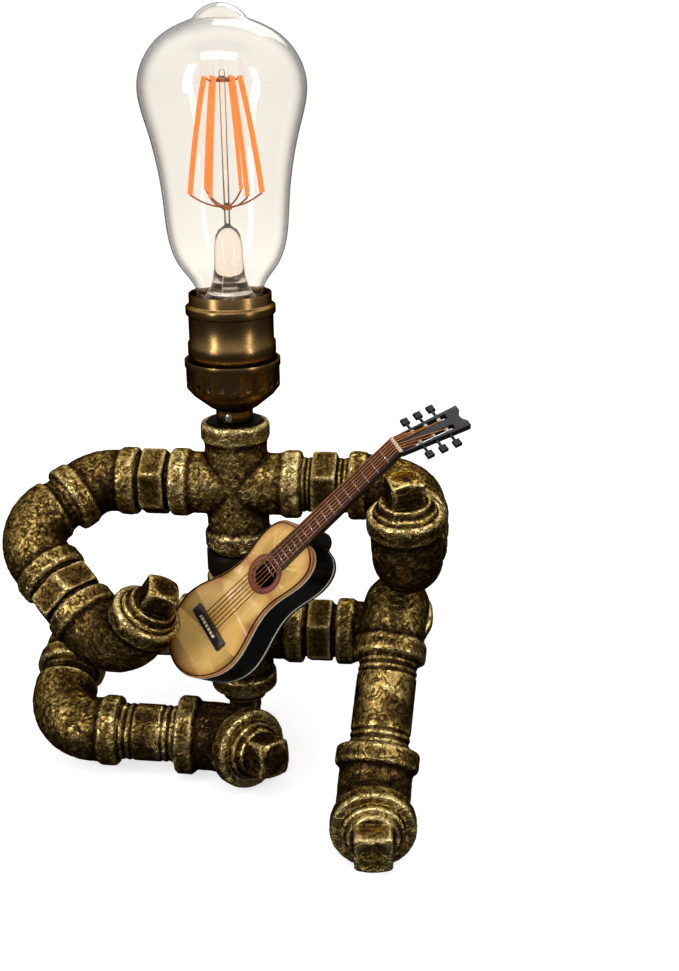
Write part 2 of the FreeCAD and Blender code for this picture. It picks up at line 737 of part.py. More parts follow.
back_top = -guitar_depth + plate
hole_cut = Part.makeCylinder(hole_radius, 4, Vector(hole_place, 0, -3), Z)
rosette_cut = Part.makeCylinder(rosette_radius + thread_fit, 1, Vector(hole_place, 0, -rosette_depth), Z)
rosette = Part.makeCylinder(rosette_radius, rosette_depth, Vector(hole_place, 0, -rosette_depth), Z)
on_guitar("guitar_top", outline(0.05, -plate, 0).cut(hole_cut).cut(rosette_cut))
on_guitar("guitar_rosette", rosette.cut(hole_cut))
rib_low = back_top + binding_height
rib_high = -plate - binding_height
on_guitar("guitar_ribs", outline(0, rib_low, rib_high).cut(outline(rib_wall, rib_low - 1, rib_high + 1)))
bindings = []
for low, high in ((rib_high, -plate), (back_top, rib_low)):
    bindings.append(outline(0, low, high).cut(outline(rib_wall, low - 1, high + 1)))
on_guitar("guitar_binding", group(bindings))
on_guitar("guitar_back", outline(0, -guitar_depth, back_top))
bridge_saddle_cut = Part.makeBox(saddle_width + 2 * thread_fit, string_span_bridge + 2.4, 1,
                                 Vector(bridge_place - saddle_width / 2 - thread_fit,
                                        -string_span_bridge / 2 - 1.2, bridge_height - 0.6))
bridge = Part.makeBox(bridge_width, bridge_length, bridge_height,
                      Vector(bridge_place - bridge_width / 2, -bridge_length / 2, 0))
on_guitar("guitar_bridge", bridge.cut(bridge_saddle_cut))
on_guitar("guitar_saddle", Part.makeBox(
    saddle_width, string_span_bridge + 2.2, saddle_height + 0.6,
    Vector(bridge_place - saddle_width / 2, -string_span_bridge / 2 - 1.1, bridge_height - 0.6)))

# Neck with its heel and slotted head
half_nut = board_nut_width / 2
half_body = board_body_width / 2
shaft = bar(0, nut_place + 2, half_body, half_nut, -neck_depth, 0)
round_back = Part.makeCylinder(half_body + 0.9, nut_place + 12, Vector(-2, 0, half_body - neck_depth + 0.9), X)
shaft = shaft.common(round_back)
heel = Part.makeCylinder(half_body, heel_depth, Vector(0, 0, -heel_depth), Z)
heel = heel.common(Part.makeBox(heel_length, 20, 30, Vector(0.02, -10, -25)))
tilt = math.radians(head_angle)
head_frame = Placement(Vector(nut_place + 0.6, 0, 0), Rotation(Y, head_angle))
head = bar(0, head_length_guitar, half_nut + 0.3, head_width / 2, -head_thickness, 0)
crown_cut = Part.makeCylinder(3.0, 10, Vector(head_length_guitar + 1.6, 0, -5), Z)
head = head.cut(crown_cut)
for side in (-1, 1):
    window = Part.makeBox(head_slot_length, head_slot_width, 10,
                          Vector(head_slot_start, side * head_width * 0.25 - head_slot_width / 2, -5))
    head = head.cut(window)
head.Placement = head_frame
neck = joined([shaft, heel, head])
nut_cut = Part.makeBox(1.2 + thread_fit, 12, 3, Vector(nut_place, -6, 0))
neck = neck.cut(nut_cut)
on_guitar("guitar_neck", neck)
board = bar(board_start, nut_place - thread_fit, half_body + 0.2, half_nut, 0, board_height)
on_guitar("guitar_fretboard", board)
nut_top = board_height + 0.45
on_guitar("guitar_nut", Part.makeBox(1.1, board_nut_width, nut_top, Vector(nut_place, -half_nut, 0)))
scale_length = nut_place - bridge_place
frets = []
for n in range(1, fret_count + 1):
    x = nut_place - scale_length * (1 - 2 ** (-n / 12.0))
    if x < board_start + 0.5:
        break
    half = half_nut + (half_body - half_nut) * (nut_place - x) / (nut_place - board_start) - 0.15
    frets.append(Part.makeBox(fret_width, 2 * half, fret_height, Vector(x - fret_width / 2, -half, board_height)))
on_guitar("guitar_frets", group(frets))

# Tuning pegs, three on each side of the head
pegs = []
for side in (-1, 1):
    for i in range(3):
        x = head_slot_start + 2.6 + i * peg_spacing
        edge = half_nut + 0.3 + (head_width / 2 - half_nut - 0.3) * (x + 1.0) / head_length_guitar
        edge = side * (edge + thread_fit)
        mid = -head_thickness / 2
        shaft_axis = Vector(0, side, 0)
        shank = Part.makeCylinder(peg_shaft_radius, peg_shaft_length, Vector(x, edge + side * 0.25, mid), shaft_axis)
        knob = Part.makeCylinder(peg_knob_radius, peg_knob_thickness,
                                 Vector(x, edge + side * (0.25 + peg_shaft_length), mid), shaft_axis)
        flat = Part.makeBox(8, 8, 1.7, Vector(x - 4, edge + side * (0.25 + peg_shaft_length) - 4, mid - 0.85))
        flange = Part.makeCylinder(1.0, 0.25, Vector(x, edge, mid), shaft_axis)
        pegs.append(joined([shank, knob.common(flat), flange]))
peg_group = group(pegs)
peg_group.Placement = head_frame
on_head = Part.makeCompound([peg_group])
on_guitar("guitar_pegs", group([s.copy() for s in on_head.Solids]))
saddle_top = bridge_height + saddle_height
strings = []
for i in range(string_count):
    share = i / (string_count - 1.0) - 0.5
    y_low = share * string_span_bridge
    y_high = share * string_span_nut
    saddle = Vector(bridge_place, y_low, saddle_top + string_radius + string_clearance)
    over = Vector(nut_place + 0.55, y_high, nut_top + string_radius + string_clearance)
    run = over - saddle
    strings.append(Part.makeCylinder(string_radius, run.Length + 0.5, saddle - unit(run) * 0.25, unit(run)))
on_guitar("guitar_strings", group(strings))

# Bracket round the trunk nipple, with a strap along the guitar's back
clip_middle = hips + Z * (reach + trunk_gap / 2)
clip_radius = thread_radius + clip_fit
clip = lathe([(clip_radius, -clip_height / 2), (clip_radius + clip_wall, -clip_height / 2),
              (clip_radius + clip_wall, clip_height / 2), (clip_radius, clip_height / 2)],
             seat(clip_middle, Z))
back_height = -guitar_depth
strap_low = back_height - strap_thickness
strap_bass = lower_bout + strap_overhang
strap = Part.makeBox(strap_width, strap_bass - strap_end, strap_thickness,
                     Vector(strap_place - strap_width / 2, strap_end, strap_low))
strap.Placement = guitar
tie_point = guitar.multVec(Vector(strap_place, strap_bass - 4, strap_low + strap_thickness / 2))
tie_start = clip_middle - Z * tie_drop + unit(Vector(tie_point.x, tie_point.y, 0)) * (clip_radius + clip_wall / 2)
tie_run = tie_point - tie_start
tie_side = unit(tie_run.cross(Z))
tie = Part.makeBox(2 * tie_half, strap_thickness * 1.4, tie_run.Length + 2,
                   Vector(-tie_half, -strap_thickness * 0.7, 0))
tie_up = unit(tie_run).cross(tie_side)
tie.Placement = Placement(tie_start, Rotation(tie_side, tie_up, unit(tie_run), "ZXY"))
keep_clear = Part.makeCylinder(clip_radius, 60, clip_middle - Z * 30, Z)
pieces["guitar_bracket"] = joined([clip, strap, tie.cut(keep_clear)])
screw_places = [Vector(strap_place, y, 0) for y in (-3.0, 7.0)]
heads = []
for p in screw_places:
    hole = Part.makeCylinder(bracket_screw_radius + thread_fit, strap_thickness + 2, Vector(p.x, p.y, strap_low - 1), Z)
    hole.Placement = guitar
    pieces["guitar_bracket"] = pieces["guitar_bracket"].cut(hole)
    heads.append(lathe([
        (0, strap_low - bracket_screw_rise), (bracket_screw_head - 0.5, strap_low - bracket_screw_rise),
        (bracket_screw_head, strap_low - 0.4), (bracket_screw_head, strap_low), (bracket_screw_radius, strap_low),
        (bracket_screw_radius, back_height), (0, back_height)], Placement(Vector(p.x, p.y, 0), Rotation())))
on_guitar("bracket_screws", group([h.copy() for h in heads]))

os.makedirs("parts", exist_ok=True)
for name, shape in pieces.items():
    shape.exportStep("parts/" + name + ".step")
print(len(pieces), "nodes")
for label, point, axis in (("right wrist", right_wrist, right_wrist_axis), ("left wrist", left_wrist, left_wrist_axis),
                           ("left shoulder", left_shoulder, -X), ("right ankle", *right_ankle),
                           ("left ankle", *left_ankle), ("collar top", collar_top, Z), ("hips", hips, Z)):
    print(label, [round(v, 3) for v in point], [round(v, 5) for v in axis])
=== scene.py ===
import bmesh
import bpy
import json
import math
import numpy as np
from mathutils import Matrix, Vector


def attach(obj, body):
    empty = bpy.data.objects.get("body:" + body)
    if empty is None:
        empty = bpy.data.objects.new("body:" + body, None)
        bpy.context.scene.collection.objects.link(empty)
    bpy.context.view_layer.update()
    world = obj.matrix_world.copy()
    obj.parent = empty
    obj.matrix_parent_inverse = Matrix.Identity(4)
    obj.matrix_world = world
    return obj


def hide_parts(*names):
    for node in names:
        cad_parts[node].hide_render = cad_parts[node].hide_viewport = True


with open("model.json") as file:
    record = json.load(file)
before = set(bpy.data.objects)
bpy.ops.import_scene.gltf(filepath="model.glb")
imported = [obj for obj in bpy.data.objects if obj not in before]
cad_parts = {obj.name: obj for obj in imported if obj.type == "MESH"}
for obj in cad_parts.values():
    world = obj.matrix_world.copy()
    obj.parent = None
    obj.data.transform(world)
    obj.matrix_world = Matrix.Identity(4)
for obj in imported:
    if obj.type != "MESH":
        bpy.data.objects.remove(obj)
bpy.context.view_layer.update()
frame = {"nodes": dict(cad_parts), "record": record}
nodes = frame["nodes"]
mm = 0.001
groups = frame["record"]["behaviour"]["bodies"]
bodyOf = {name: body for body, names in groups.items() for name in names}
finished = set()    # CAD nodes that a piece stands for, or that carry a material of their own
print("frame loaded:", len(nodes), "nodes")


def colour(code):
    # an sRGB hex code as linear light
    parts = [int(code[i:i + 2], 16) / 255 for i in (1, 3, 5)]
    return tuple(c / 12.92 if c <= 0.04045 else ((c + 0.055) / 1.055) ** 2.4 for c in parts) + (1.0,)


def linked(piece):
    bpy.context.scene.collection.objects.link(piece)
    return piece


def settled(piece):
    # the modifiers' result as a plain mesh
    depsgraph = bpy.context.evaluated_depsgraph_get()
    mesh = bpy.data.meshes.new_from_object(piece.evaluated_get(depsgraph))
    if piece.type == "MESH":
        piece.modifiers.clear()
        piece.data = mesh
        return piece
    name = piece.name
    bpy.data.objects.remove(piece)
    return linked(bpy.data.objects.new(name, mesh))


def placed(piece, matrix):
    piece.data.transform(matrix)
    return piece


def dressed(piece, body, slot, material, *replaced):
    # a material of None leaves the one that Geometry Nodes has set
    if material is not None:
        piece.data.materials.clear()
        piece.data.materials.append(material)
    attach(piece, body)
    if replaced:
        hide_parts(*replaced)
        finished.update(replaced)
    return piece


view = {
    "place": (0.0863, -0.4749, 0.2676),
    "turn": 5.62,       # degrees to the left of straight ahead
    "down": 19.4,
    "roll": -0.63,
    "lens": 49.0,
    "sensorHeight": 36,
    "nearClip": 0.01,
    "farClip": 20,
}

turn, down, roll = (math.radians(view[key]) for key in ("turn", "down", "roll"))
ahead = Vector((-math.sin(turn) * math.cos(down), math.cos(turn) * math.cos(down), -math.sin(down)))
levelRight = Vector((math.cos(turn), math.sin(turn), 0))
levelDown = ahead.cross(levelRight)
right = levelRight * math.cos(roll) - levelDown * math.sin(roll)
below = levelRight * math.sin(roll) + levelDown * math.cos(roll)
cameraData = bpy.data.cameras.new("photoCamera")
cameraData.sensor_fit = "VERTICAL"
cameraData.sensor_height = view["sensorHeight"]
cameraData.lens = view["lens"]
cameraData.clip_start = view["nearClip"]
cameraData.clip_end = view["farClip"]
photoCamera = linked(bpy.data.objects.new("photoCamera", cameraData))
photoCamera.matrix_world = Matrix.Translation(view["place"]) @ Matrix(
    (right, -below, -ahead)).transposed().to_4x4()
bpy.context.scene.camera = photoCamera


def addNode(tree, kind, inputs=None, **settings):
    node = tree.nodes.new(kind)
    for key, value in settings.items():
        setattr(node, key, value)
    for key, value in (inputs or {}).items():
        if isinstance(value, bpy.types.NodeSocket):
            tree.links.new(value, node.inputs[key])
        else:
            node.inputs[key].default_value = value
    return node


def calculate(tree, operation, first, second=0.0, third=0.0, clamp=False):
    node = addNode(
        tree, "ShaderNodeMath", {0: first, 1: second, 2: third}, operation=operation, use_clamp=clamp)
    return node.outputs[0]


def rayKinds(tree):
    # 1 for rays that see the backdrop straight or through glass, then 1 for mirrored rays
    rays = tree.nodes.new("ShaderNodeLightPath")
    direct = calculate(tree, "MAXIMUM", rays.outputs["Is Camera Ray"], rays.outputs["Is Transmission Ray"])
    return direct, calculate(tree, "SUBTRACT", rays.outputs["Is Glossy Ray"], direct, clamp=True)


studio = {
    "backdrop": "#ffffff",
    "softLight": 0.42,
    "mirrorFrom": (0.05, 0.14),   # slope of a mirrored ray and the light it meets, near the level
    "mirrorTo": (0.85, 1.15),     # and near overhead
    "mirrorFloor": 0.05,
    "floorTone": "#e9e9e8",
    "floorLift": 0.69,            # lets the floor reach the white of the backdrop
    "floorHalf": 6,
    "lamps": (  # place, power, width and height
        ((-0.75, -0.95, 0.65), 6.0, 0.24, 1.10),
        ((0.95, -0.60, 0.50), 2.6, 0.16, 1.00),
        ((0.05, -0.55, 1.35), 3.2, 0.90, 0.30),
        ((0.10, 0.90, 0.90), 2.0, 0.60, 0.60),
    ),
    "aim": (0, 0, 0.12),
}

plainWhite = (1, 1, 1, 1)
world = bpy.data.worlds.new("studioWorld")
world.use_nodes = True
bpy.context.scene.world = world
tree = world.node_tree
tree.nodes.clear()
direct, mirrored = rayKinds(tree)
rayWay = tree.nodes.new("ShaderNodeTexCoord").outputs["Generated"]
direction = addNode(tree, "ShaderNodeSeparateXYZ", {0: rayWay})
(lowSlope, lowLight), (highSlope, highLight) = studio["mirrorFrom"], studio["mirrorTo"]
sky = addNode(tree, "ShaderNodeMapRange", {
    0: direction.outputs["Z"], 1: lowSlope, 2: highSlope, 3: lowLight, 4: highLight})
strength = addNode(tree, "ShaderNodeMix", {0: mirrored, 2: studio["softLight"], 3: sky.outputs[0]})
soft = addNode(tree, "ShaderNodeBackground", {"Color": plainWhite, "Strength": strength.outputs[0]})
white = addNode(tree, "ShaderNodeBackground", {"Color": colour(studio["backdrop"]), "Strength": 1.0})
choice = addNode(tree, "ShaderNodeMixShader", {0: direct, 1: soft.outputs[0], 2: white.outputs[0]})
addNode(tree, "ShaderNodeOutputWorld", {"Surface": choice.outputs[0]})

for index, (place, power, width, height) in enumerate(studio["lamps"]):
    lampData = bpy.data.lights.new("studioLamp%d" % index, "AREA")
    lampData.energy = power
    lampData.shape = "RECTANGLE"
    lampData.size = width
    lampData.size_y = height
    studioLamp = linked(bpy.data.objects.new("studioLamp%d" % index, lampData))
    studioLamp.location = place
    towards = Vector(studio["aim"]) - Vector(place)
    studioLamp.rotation_euler = towards.to_track_quat("-Z", "Y").to_euler()

floorMaterial = bpy.data.materials.new("floorWhite")
floorMaterial.use_nodes = True
tree = floorMaterial.node_tree
tree.nodes.clear()
matt = addNode(tree, "ShaderNodeBsdfDiffuse", {"Color": colour(studio["floorTone"])})
direct, mirrored = rayKinds(tree)
lift = addNode(tree, "ShaderNodeEmission", {
    "Color": plainWhite, "Strength": calculate(tree, "MULTIPLY", direct, studio["floorLift"])})
both = addNode(tree, "ShaderNodeAddShader", {0: matt.outputs[0], 1: lift.outputs[0]})
dim = addNode(tree, "ShaderNodeEmission", {"Color": plainWhite, "Strength": studio["mirrorFloor"]})
floorMix = addNode(tree, "ShaderNodeMixShader", {0: mirrored, 1: both.outputs[0], 2: dim.outputs[0]})
addNode(tree, "ShaderNodeOutputMaterial", {"Surface": floorMix.outputs[0]})
floorMesh = bpy.data.meshes.new("studioFloor")
half = studio["floorHalf"]
floorCorners = [(-half, -half, 0), (half, -half, 0), (half, half, 0), (-half, half, 0)]
floorMesh.from_pydata(floorCorners, [], [(0, 1, 2, 3)])
floorMesh.materials.append(floorMaterial)
studioFloor = linked(bpy.data.objects.new("studioFloor", floorMesh))
bpy.context.scene.view_settings.view_transform = "Standard"
print("camera, floor and light set")


def blankMaterial(name):
    material = bpy.data.materials.new(name)
    material.use_nodes = True
    tree = material.node_tree
    tree.nodes.clear()
    shader = tree.nodes.new("ShaderNodeBsdfPrincipled")
    addNode(tree, "ShaderNodeOutputMaterial", {"Surface": shader.outputs[0]})
    return material, tree, shader


def connect(tree, source, target):
    tree.links.new(source, target)


def ramp(tree, factor, stops, interpolation="LINEAR"):
    node = addNode(tree, "ShaderNodeValToRGB", {0: factor})
    node.color_ramp.interpolation = interpolation
    elements = node.color_ramp.elements
    while len(elements) < len(stops):
        elements.new(1.0)
    for element, (position, code) in zip(elements, stops):
        element.position = position
        element.color = colour(code)
    return node.outputs[0]


def spread(tree, value, low, high, outLow=0.0, outHigh=1.0):
    node = addNode(tree, "ShaderNodeMapRange", {0: value, 1: low, 2: high, 3: outLow, 4: outHigh})
    return node.outputs[0]


def objectPlace(tree):
    return tree.nodes.new("ShaderNodeTexCoord").outputs["Object"]


def noiseAt(tree, place, scale, detail=3.0, roughness=0.5, distortion=0.0):
    node = addNode(tree, "ShaderNodeTexNoise", {
        "Vector": place, "Scale": scale, "Detail": detail, "Roughness": roughness, "Distortion": distortion})
    return node.outputs["Fac"]


def raised(tree, shader, height, depth, strength=1.0):
    node = addNode(tree, "ShaderNodeBump", {"Height": height, "Strength": strength, "Distance": depth})
    connect(tree, node.outputs[0], shader.inputs["Normal"])


noiseSpan = (0.3, 0.7)        # where most of a noise's values lie
narrowSpan = (0.35, 0.65)
bronzeLook = {
    "stops": ((0.00, "#0b0705"), (0.25, "#1f150c"), (0.45, "#3f2e18"), (0.62, "#67502a"),
              (0.80, "#a08548"), (1.00, "#dcc488")),
    "level": 0.62,
    "cloud": 90.0,            # patches of patina, per metre
    "wrinkle": 210.0,         # folds of the casting's skin
    "grain": 1000.0,          # its fine pits
    "grainShare": 0.4,
    "creaseWidth": 0.05,
    "dullToBright": (0.1, 0.9, 0.46, 0.25),    # tones, and the roughness at each
    "patinaToMetal": (0.1, 0.5, 0.7, 1.0),     # tones, and how metallic each is
    "edgeTint": "#2c1f12",
    "pit": 0.00032,
    "pitShare": 0.55,
    "pitStrength": 0.75,
}


def centred(tree, value, share):
    # noise about zero, times its share
    return calculate(tree, "MULTIPLY", calculate(tree, "SUBTRACT", value, 0.5), share)


def bronze(name, tone=0.0, wearAndShadeShare=0.75, cloudShare=0.26, wrinkleShare=0.24, smooth=0.0, skin=1.0):
    # antique bronze: dark patina in the folds and painted shade in the corners, rubbed to gold on what
    # stands out
    look = bronzeLook
    material, tree, shader = blankMaterial(name)
    place = objectPlace(tree)
    wearAndShade = addNode(tree, "ShaderNodeAttribute", attribute_name="wearAndShade").outputs["Fac"]
    cloud = noiseAt(tree, place, look["cloud"], 5, 0.6, 0.4)
    grain = noiseAt(tree, place, look["grain"] * skin, 4, 0.6, 0.3)
    folds = noiseAt(tree, place, look["wrinkle"] * skin, 4, 0.62, 1.1)
    crease = calculate(tree, "ABSOLUTE", calculate(tree, "SUBTRACT", folds, 0.5))
    creased = spread(tree, crease, 0.0, look["creaseWidth"])      # 0 along the thin dark creases
    # the attribute carries rubbed wear, and painted shade in the corners between parts, into the tone
    total = calculate(tree, "MULTIPLY_ADD", wearAndShade, wearAndShadeShare, look["level"] - wearAndShadeShare * 0.5 + tone)
    total = calculate(tree, "ADD", total, centred(tree, cloud, cloudShare * 2))
    total = calculate(tree, "ADD", total, centred(tree, grain, look["grainShare"]))
    dark = calculate(tree, "MULTIPLY", calculate(tree, "SUBTRACT", 1.0, creased), wrinkleShare)
    total = calculate(tree, "SUBTRACT", total, dark, clamp=True)
    connect(tree, ramp(tree, total, look["stops"]), shader.inputs["Base Color"])
    low, high, dull, bright = look["dullToBright"]
    roughness = spread(tree, total, low, high, dull - smooth, bright - smooth * 0.5)
    connect(tree, roughness, shader.inputs["Roughness"])
    connect(tree, spread(tree, total, *look["patinaToMetal"]), shader.inputs["Metallic"])
    shader.inputs["Specular Tint"].default_value = colour(look["edgeTint"])
    height = calculate(tree, "ADD", calculate(tree, "MULTIPLY", grain, look["pitShare"]), creased)
    raised(tree, shader, height, look["pit"] * (1 - smooth), look["pitStrength"])
    return material


def metal(name, low, high, roughness=0.3, scale=220.0, fine=900.0, depth=0.00004, metallic=1.0,
          tint="#808080", cloudShare=0.75):
    # turned or plated metal with faint handling marks
    material, tree, shader = blankMaterial(name)
    place = objectPlace(tree)
    cloud = noiseAt(tree, place, scale, 5, 0.6, 0.6)
    marks = noiseAt(tree, place, fine, 3, 0.6)
    mixed = calculate(tree, "ADD", calculate(tree, "MULTIPLY", cloud, cloudShare),
                      calculate(tree, "MULTIPLY", marks, 1 - cloudShare))
    tone = spread(tree, mixed, *noiseSpan)
    connect(tree, ramp(tree, tone, ((0.0, low), (1.0, high))), shader.inputs["Base Color"])
    connect(tree, spread(tree, tone, 0, 1, roughness + 0.1, roughness - 0.06), shader.inputs["Roughness"])
    shader.inputs["Metallic"].default_value = metallic
    shader.inputs["Specular Tint"].default_value = colour(tint)
    raised(tree, shader, marks, depth, 0.6)
    return material


def coated(shader, weight, roughness):
    shader.inputs["Coat Weight"].default_value = weight
    shader.inputs["Coat Roughness"].default_value = roughness


def moulded(name, low, high, roughness=0.45, scale=300.0, depth=0.00005, coat=0.0, gloss=0.5):
    # rubber, ceramic, card, plastic or lacquer, told apart by colour, gloss and grain
    material, tree, shader = blankMaterial(name)
    place = objectPlace(tree)
    grain = noiseAt(tree, place, scale, 4, 0.6)
    tone = spread(tree, grain, *narrowSpan)
    connect(tree, ramp(tree, tone, ((0.0, low), (1.0, high))), shader.inputs["Base Color"])
    dullness = spread(tree, grain, *noiseSpan, roughness + 0.08, roughness - 0.05)
    connect(tree, dullness, shader.inputs["Roughness"])
    shader.inputs["Specular IOR Level"].default_value = gloss
    coated(shader, coat, 0.06)
    raised(tree, shader, grain, depth, 0.5)
    return material


guitar = {
    "joint": (30.4, -41.6, 94.7),  # where the neck meets the body, in millimetres
    "yaw": 4.8,
    "rise": 45.5,
    "roll": 43.5,
}

yaw, rise, roll = (math.radians(guitar[key]) for key in ("yaw", "rise", "roll"))
level = Vector((math.cos(yaw), math.sin(yaw), 0))
up = Vector((0, 0, 1))
alongNeck = level * math.cos(rise) + up * math.sin(rise)
frontLevel = up * math.cos(rise) - level * math.sin(rise)
guitarFront = frontLevel * math.cos(roll) + alongNeck.cross(frontLevel) * math.sin(roll)
bassSide = guitarFront.cross(alongNeck)
guitarFrame = Matrix.Translation(Vector(guitar["joint"]) * mm) @ Matrix(
    (alongNeck, bassSide, guitarFront)).transposed().to_4x4()


def guitarPlace(tree):
    # Object coordinates turned into the guitar's own, in metres
    node = addNode(tree, "ShaderNodeMapping", {
        "Vector": objectPlace(tree), "Location": guitarFrame.to_translation(),
        "Rotation": guitarFrame.to_euler()}, vector_type="TEXTURE")
    return node.outputs[0]


def stretched(tree, place, scale):
    return addNode(tree, "ShaderNodeMapping", {"Vector": place, "Scale": scale}).outputs[0]


def distanceTo(tree, place, centre):
    # in the plane of the guitar's face
    flattened = addNode(tree, "ShaderNodeVectorMath", {0: place, 1: (1, 1, 0)}, operation="MULTIPLY")
    node = addNode(tree, "ShaderNodeVectorMath", {
        0: flattened.outputs[0], 1: Vector(centre) * mm}, operation="DISTANCE")
    return node.outputs["Value"]


def blended(tree, factor, first, code):
    # the first colour passing into the second
    node = addNode(tree, "ShaderNodeMix", {"Factor": factor}, data_type="RGBA")
    connect(tree, first, node.inputs[6])
    node.inputs[7].default_value = colour(code)
    return node.outputs[2]


spruce = {
    "bouts": (((-50.0, 0, 0), 17.6), ((-31.0, 0, 0), 12.0), ((-13.0, 0, 0), 13.3)),
    "grainPitch": 2300.0,
    "cloud": 90,
    "grainShare": 0.7,
    "light": "#f7cf7c",
    "dark": "#e8b054",
    "burst": "#b0601c",
    "burstFrom": 0.78,    # shares of the way from a bout's middle to its edge
    "burstTo": 1.12,
    "raggedness": 0.3,
}


def spruceTop():
    material, tree, shader = blankMaterial("honeySpruce")
    place = guitarPlace(tree)
    lines = noiseAt(tree, stretched(tree, place, (0.03, 1.0, 0.2)), spruce["grainPitch"], 3, 0.55)
    clouds = noiseAt(tree, stretched(tree, place, (0.4, 1.0, 1.0)), spruce["cloud"], 3, 0.5)
    tone = calculate(tree, "ADD", calculate(tree, "MULTIPLY", lines, spruce["grainShare"]),
                     calculate(tree, "MULTIPLY", clouds, 1 - spruce["grainShare"]))
    wood = ramp(tree, spread(tree, tone, 0.36, 0.64), ((0.0, spruce["dark"]), (1.0, spruce["light"])))
    edge = None
    for centre, radius in spruce["bouts"]:
        share = calculate(tree, "DIVIDE", distanceTo(tree, place, centre), radius * mm)
        edge = share if edge is None else calculate(tree, "MINIMUM", edge, share)
    edge = calculate(tree, "ADD", edge, centred(tree, clouds, spruce["raggedness"]))
    burst = spread(tree, edge, spruce["burstFrom"], spruce["burstTo"])
    connect(tree, blended(tree, burst, wood, spruce["burst"]), shader.inputs["Base Color"])
    shader.inputs["Roughness"].default_value = 0.38
    coated(shader, 0.5, 0.12)
    raised(tree, shader, lines, 0.00003, 0.5)
    return material


def grainedWood(name, low, high, roughness=0.4, coat=0.3):
    material, tree, shader = blankMaterial(name)
    place = guitarPlace(tree)
    lines = noiseAt(tree, stretched(tree, place, (0.06, 1.0, 0.5)), 1500, 4, 0.6, 0.2)
    tone = spread(tree, lines, *narrowSpan)
    connect(tree, ramp(tree, tone, ((0.0, low), (1.0, high))), shader.inputs["Base Color"])
    dullness = spread(tree, lines, *noiseSpan, roughness + 0.1, roughness - 0.06)
    connect(tree, dullness, shader.inputs["Roughness"])
    coated(shader, coat, 0.1)
    raised(tree, shader, lines, 0.00004, 0.6)
    return material


rosette = {
    "centre": (-20.0, 0, 0), "inside": 5.0, "outside": 7.4,
    "rings": ((0.0, "#3a0d08"), (0.10, "#9a2415"), (0.34, "#2a0a07"), (0.42, "#b98a4a"),
              (0.52, "#2a0a07"), (0.60, "#9a2415"), (0.86, "#5d140c"), (0.93, "#2a1408")),
    "speckle": 1900, "speckleShare": 0.35, "speckleTone": "#1c0805",
}


def rosetteRings():
    material, tree, shader = blankMaterial("rosetteRings")
    place = guitarPlace(tree)
    away = distanceTo(tree, place, rosette["centre"])
    share = spread(tree, away, rosette["inside"] * mm, rosette["outside"] * mm)
    speckle = noiseAt(tree, place, rosette["speckle"], 2, 0.6)
    rings = ramp(tree, share, rosette["rings"], "CONSTANT")
    dots = spread(tree, speckle, *noiseSpan, 0.0, rosette["speckleShare"])
    connect(tree, blended(tree, dots, rings, rosette["speckleTone"]), shader.inputs["Base Color"])
    shader.inputs["Roughness"].default_value = 0.35
    coated(shader, 0.5, 0.1)
    return material


glassLook = {
    "blend": 0.5,
    "toneFrom": 0.5,           # how edge on the face tone starts to darken into the painted dark outline, and where it is the rim's
    "toneTo": 0.9,
    "clearTo": (0.62, 1.0),    # how edge on, and the share of light let through
    # edge on, less light gets through: part of the painted dark outline
    "paintedOutlineFrom": (0.93, 0.2),
    "smear": 40,               # faint smears, per metre
    "smearRoughness": 0.02,
    "bending": 1.46,           # of light, as in common glass
}


def clearGlass(name, face, rim):
    # clear, a little smoky, with a painted dark outline: darker, and letting less light through, where it is
    # seen edge on
    look = glassLook
    material, tree, shader = blankMaterial(name)
    smear = noiseAt(tree, objectPlace(tree), look["smear"], 3, 0.5, 0.4)
    connect(tree, spread(tree, smear, 0.35, 0.7, 0.0, look["smearRoughness"]), shader.inputs["Roughness"])
    edgeOn = addNode(tree, "ShaderNodeLayerWeight", {"Blend": look["blend"]}).outputs["Facing"]
    tones = ((0.0, face), (look["toneFrom"], face), (look["toneTo"], rim))
    connect(tree, ramp(tree, edgeOn, tones), shader.inputs["Base Color"])
    (clearAt, clear), (outlineAt, outlineLetThrough) = look["clearTo"], look["paintedOutlineFrom"]
    connect(tree, spread(tree, edgeOn, clearAt, outlineAt, clear, outlineLetThrough), shader.inputs["Transmission Weight"])
    shader.inputs["IOR"].default_value = look["bending"]
    return material


def glowing(name, core, rim, strength, base="#6a2a08"):
    # coated strips that light themselves
    material, tree, shader = blankMaterial(name)
    place = objectPlace(tree)
    grain = noiseAt(tree, place, 900, 2, 0.5)
    tone = ramp(tree, spread(tree, grain, *noiseSpan), ((0.0, rim), (1.0, core)))
    shader.inputs["Base Color"].default_value = colour(base)
    connect(tree, tone, shader.inputs["Emission Color"])
    shader.inputs["Emission Strength"].default_value = strength
    shader.inputs["Roughness"].default_value = 0.5
    return material


crossBronze = bronze("crossBronze", tone=0.12)
fittingBronze = bronze("fittingBronze", tone=0.0)
nippleBronze = bronze("nippleBronze", tone=0.0, wearAndShadeShare=0.9, skin=1.4)
pipeBronze = bronze("pipeBronze", tone=0.06, cloudShare=0.6, wrinkleShare=0.22, smooth=0.1)
plugBronze = bronze("plugBronze", tone=0.04, wrinkleShare=0.25, smooth=0.1)
toeBrass = bronze("toeBrass", tone=0.22, cloudShare=0.35, wrinkleShare=0.2, smooth=0.12)
holderBronze = metal("holderBronze", "#7a5f3d", "#b8935c", 0.24, scale=90, depth=0.00002, tint="#2c1f12")
platedSteel = metal("platedSteel", "#7c7d80", "#b4b5b8", 0.3)
brightScrew = metal("brightScrew", "#c9cacc", "#f0f0f1", 0.2)
blackRubber = moulded("blackRubber", "#0e0e0e", "#1c1c1c", 0.7, scale=900)
whiteCeramic = moulded("whiteCeramic", "#e4e0d6", "#f2efe8", 0.35, scale=200)
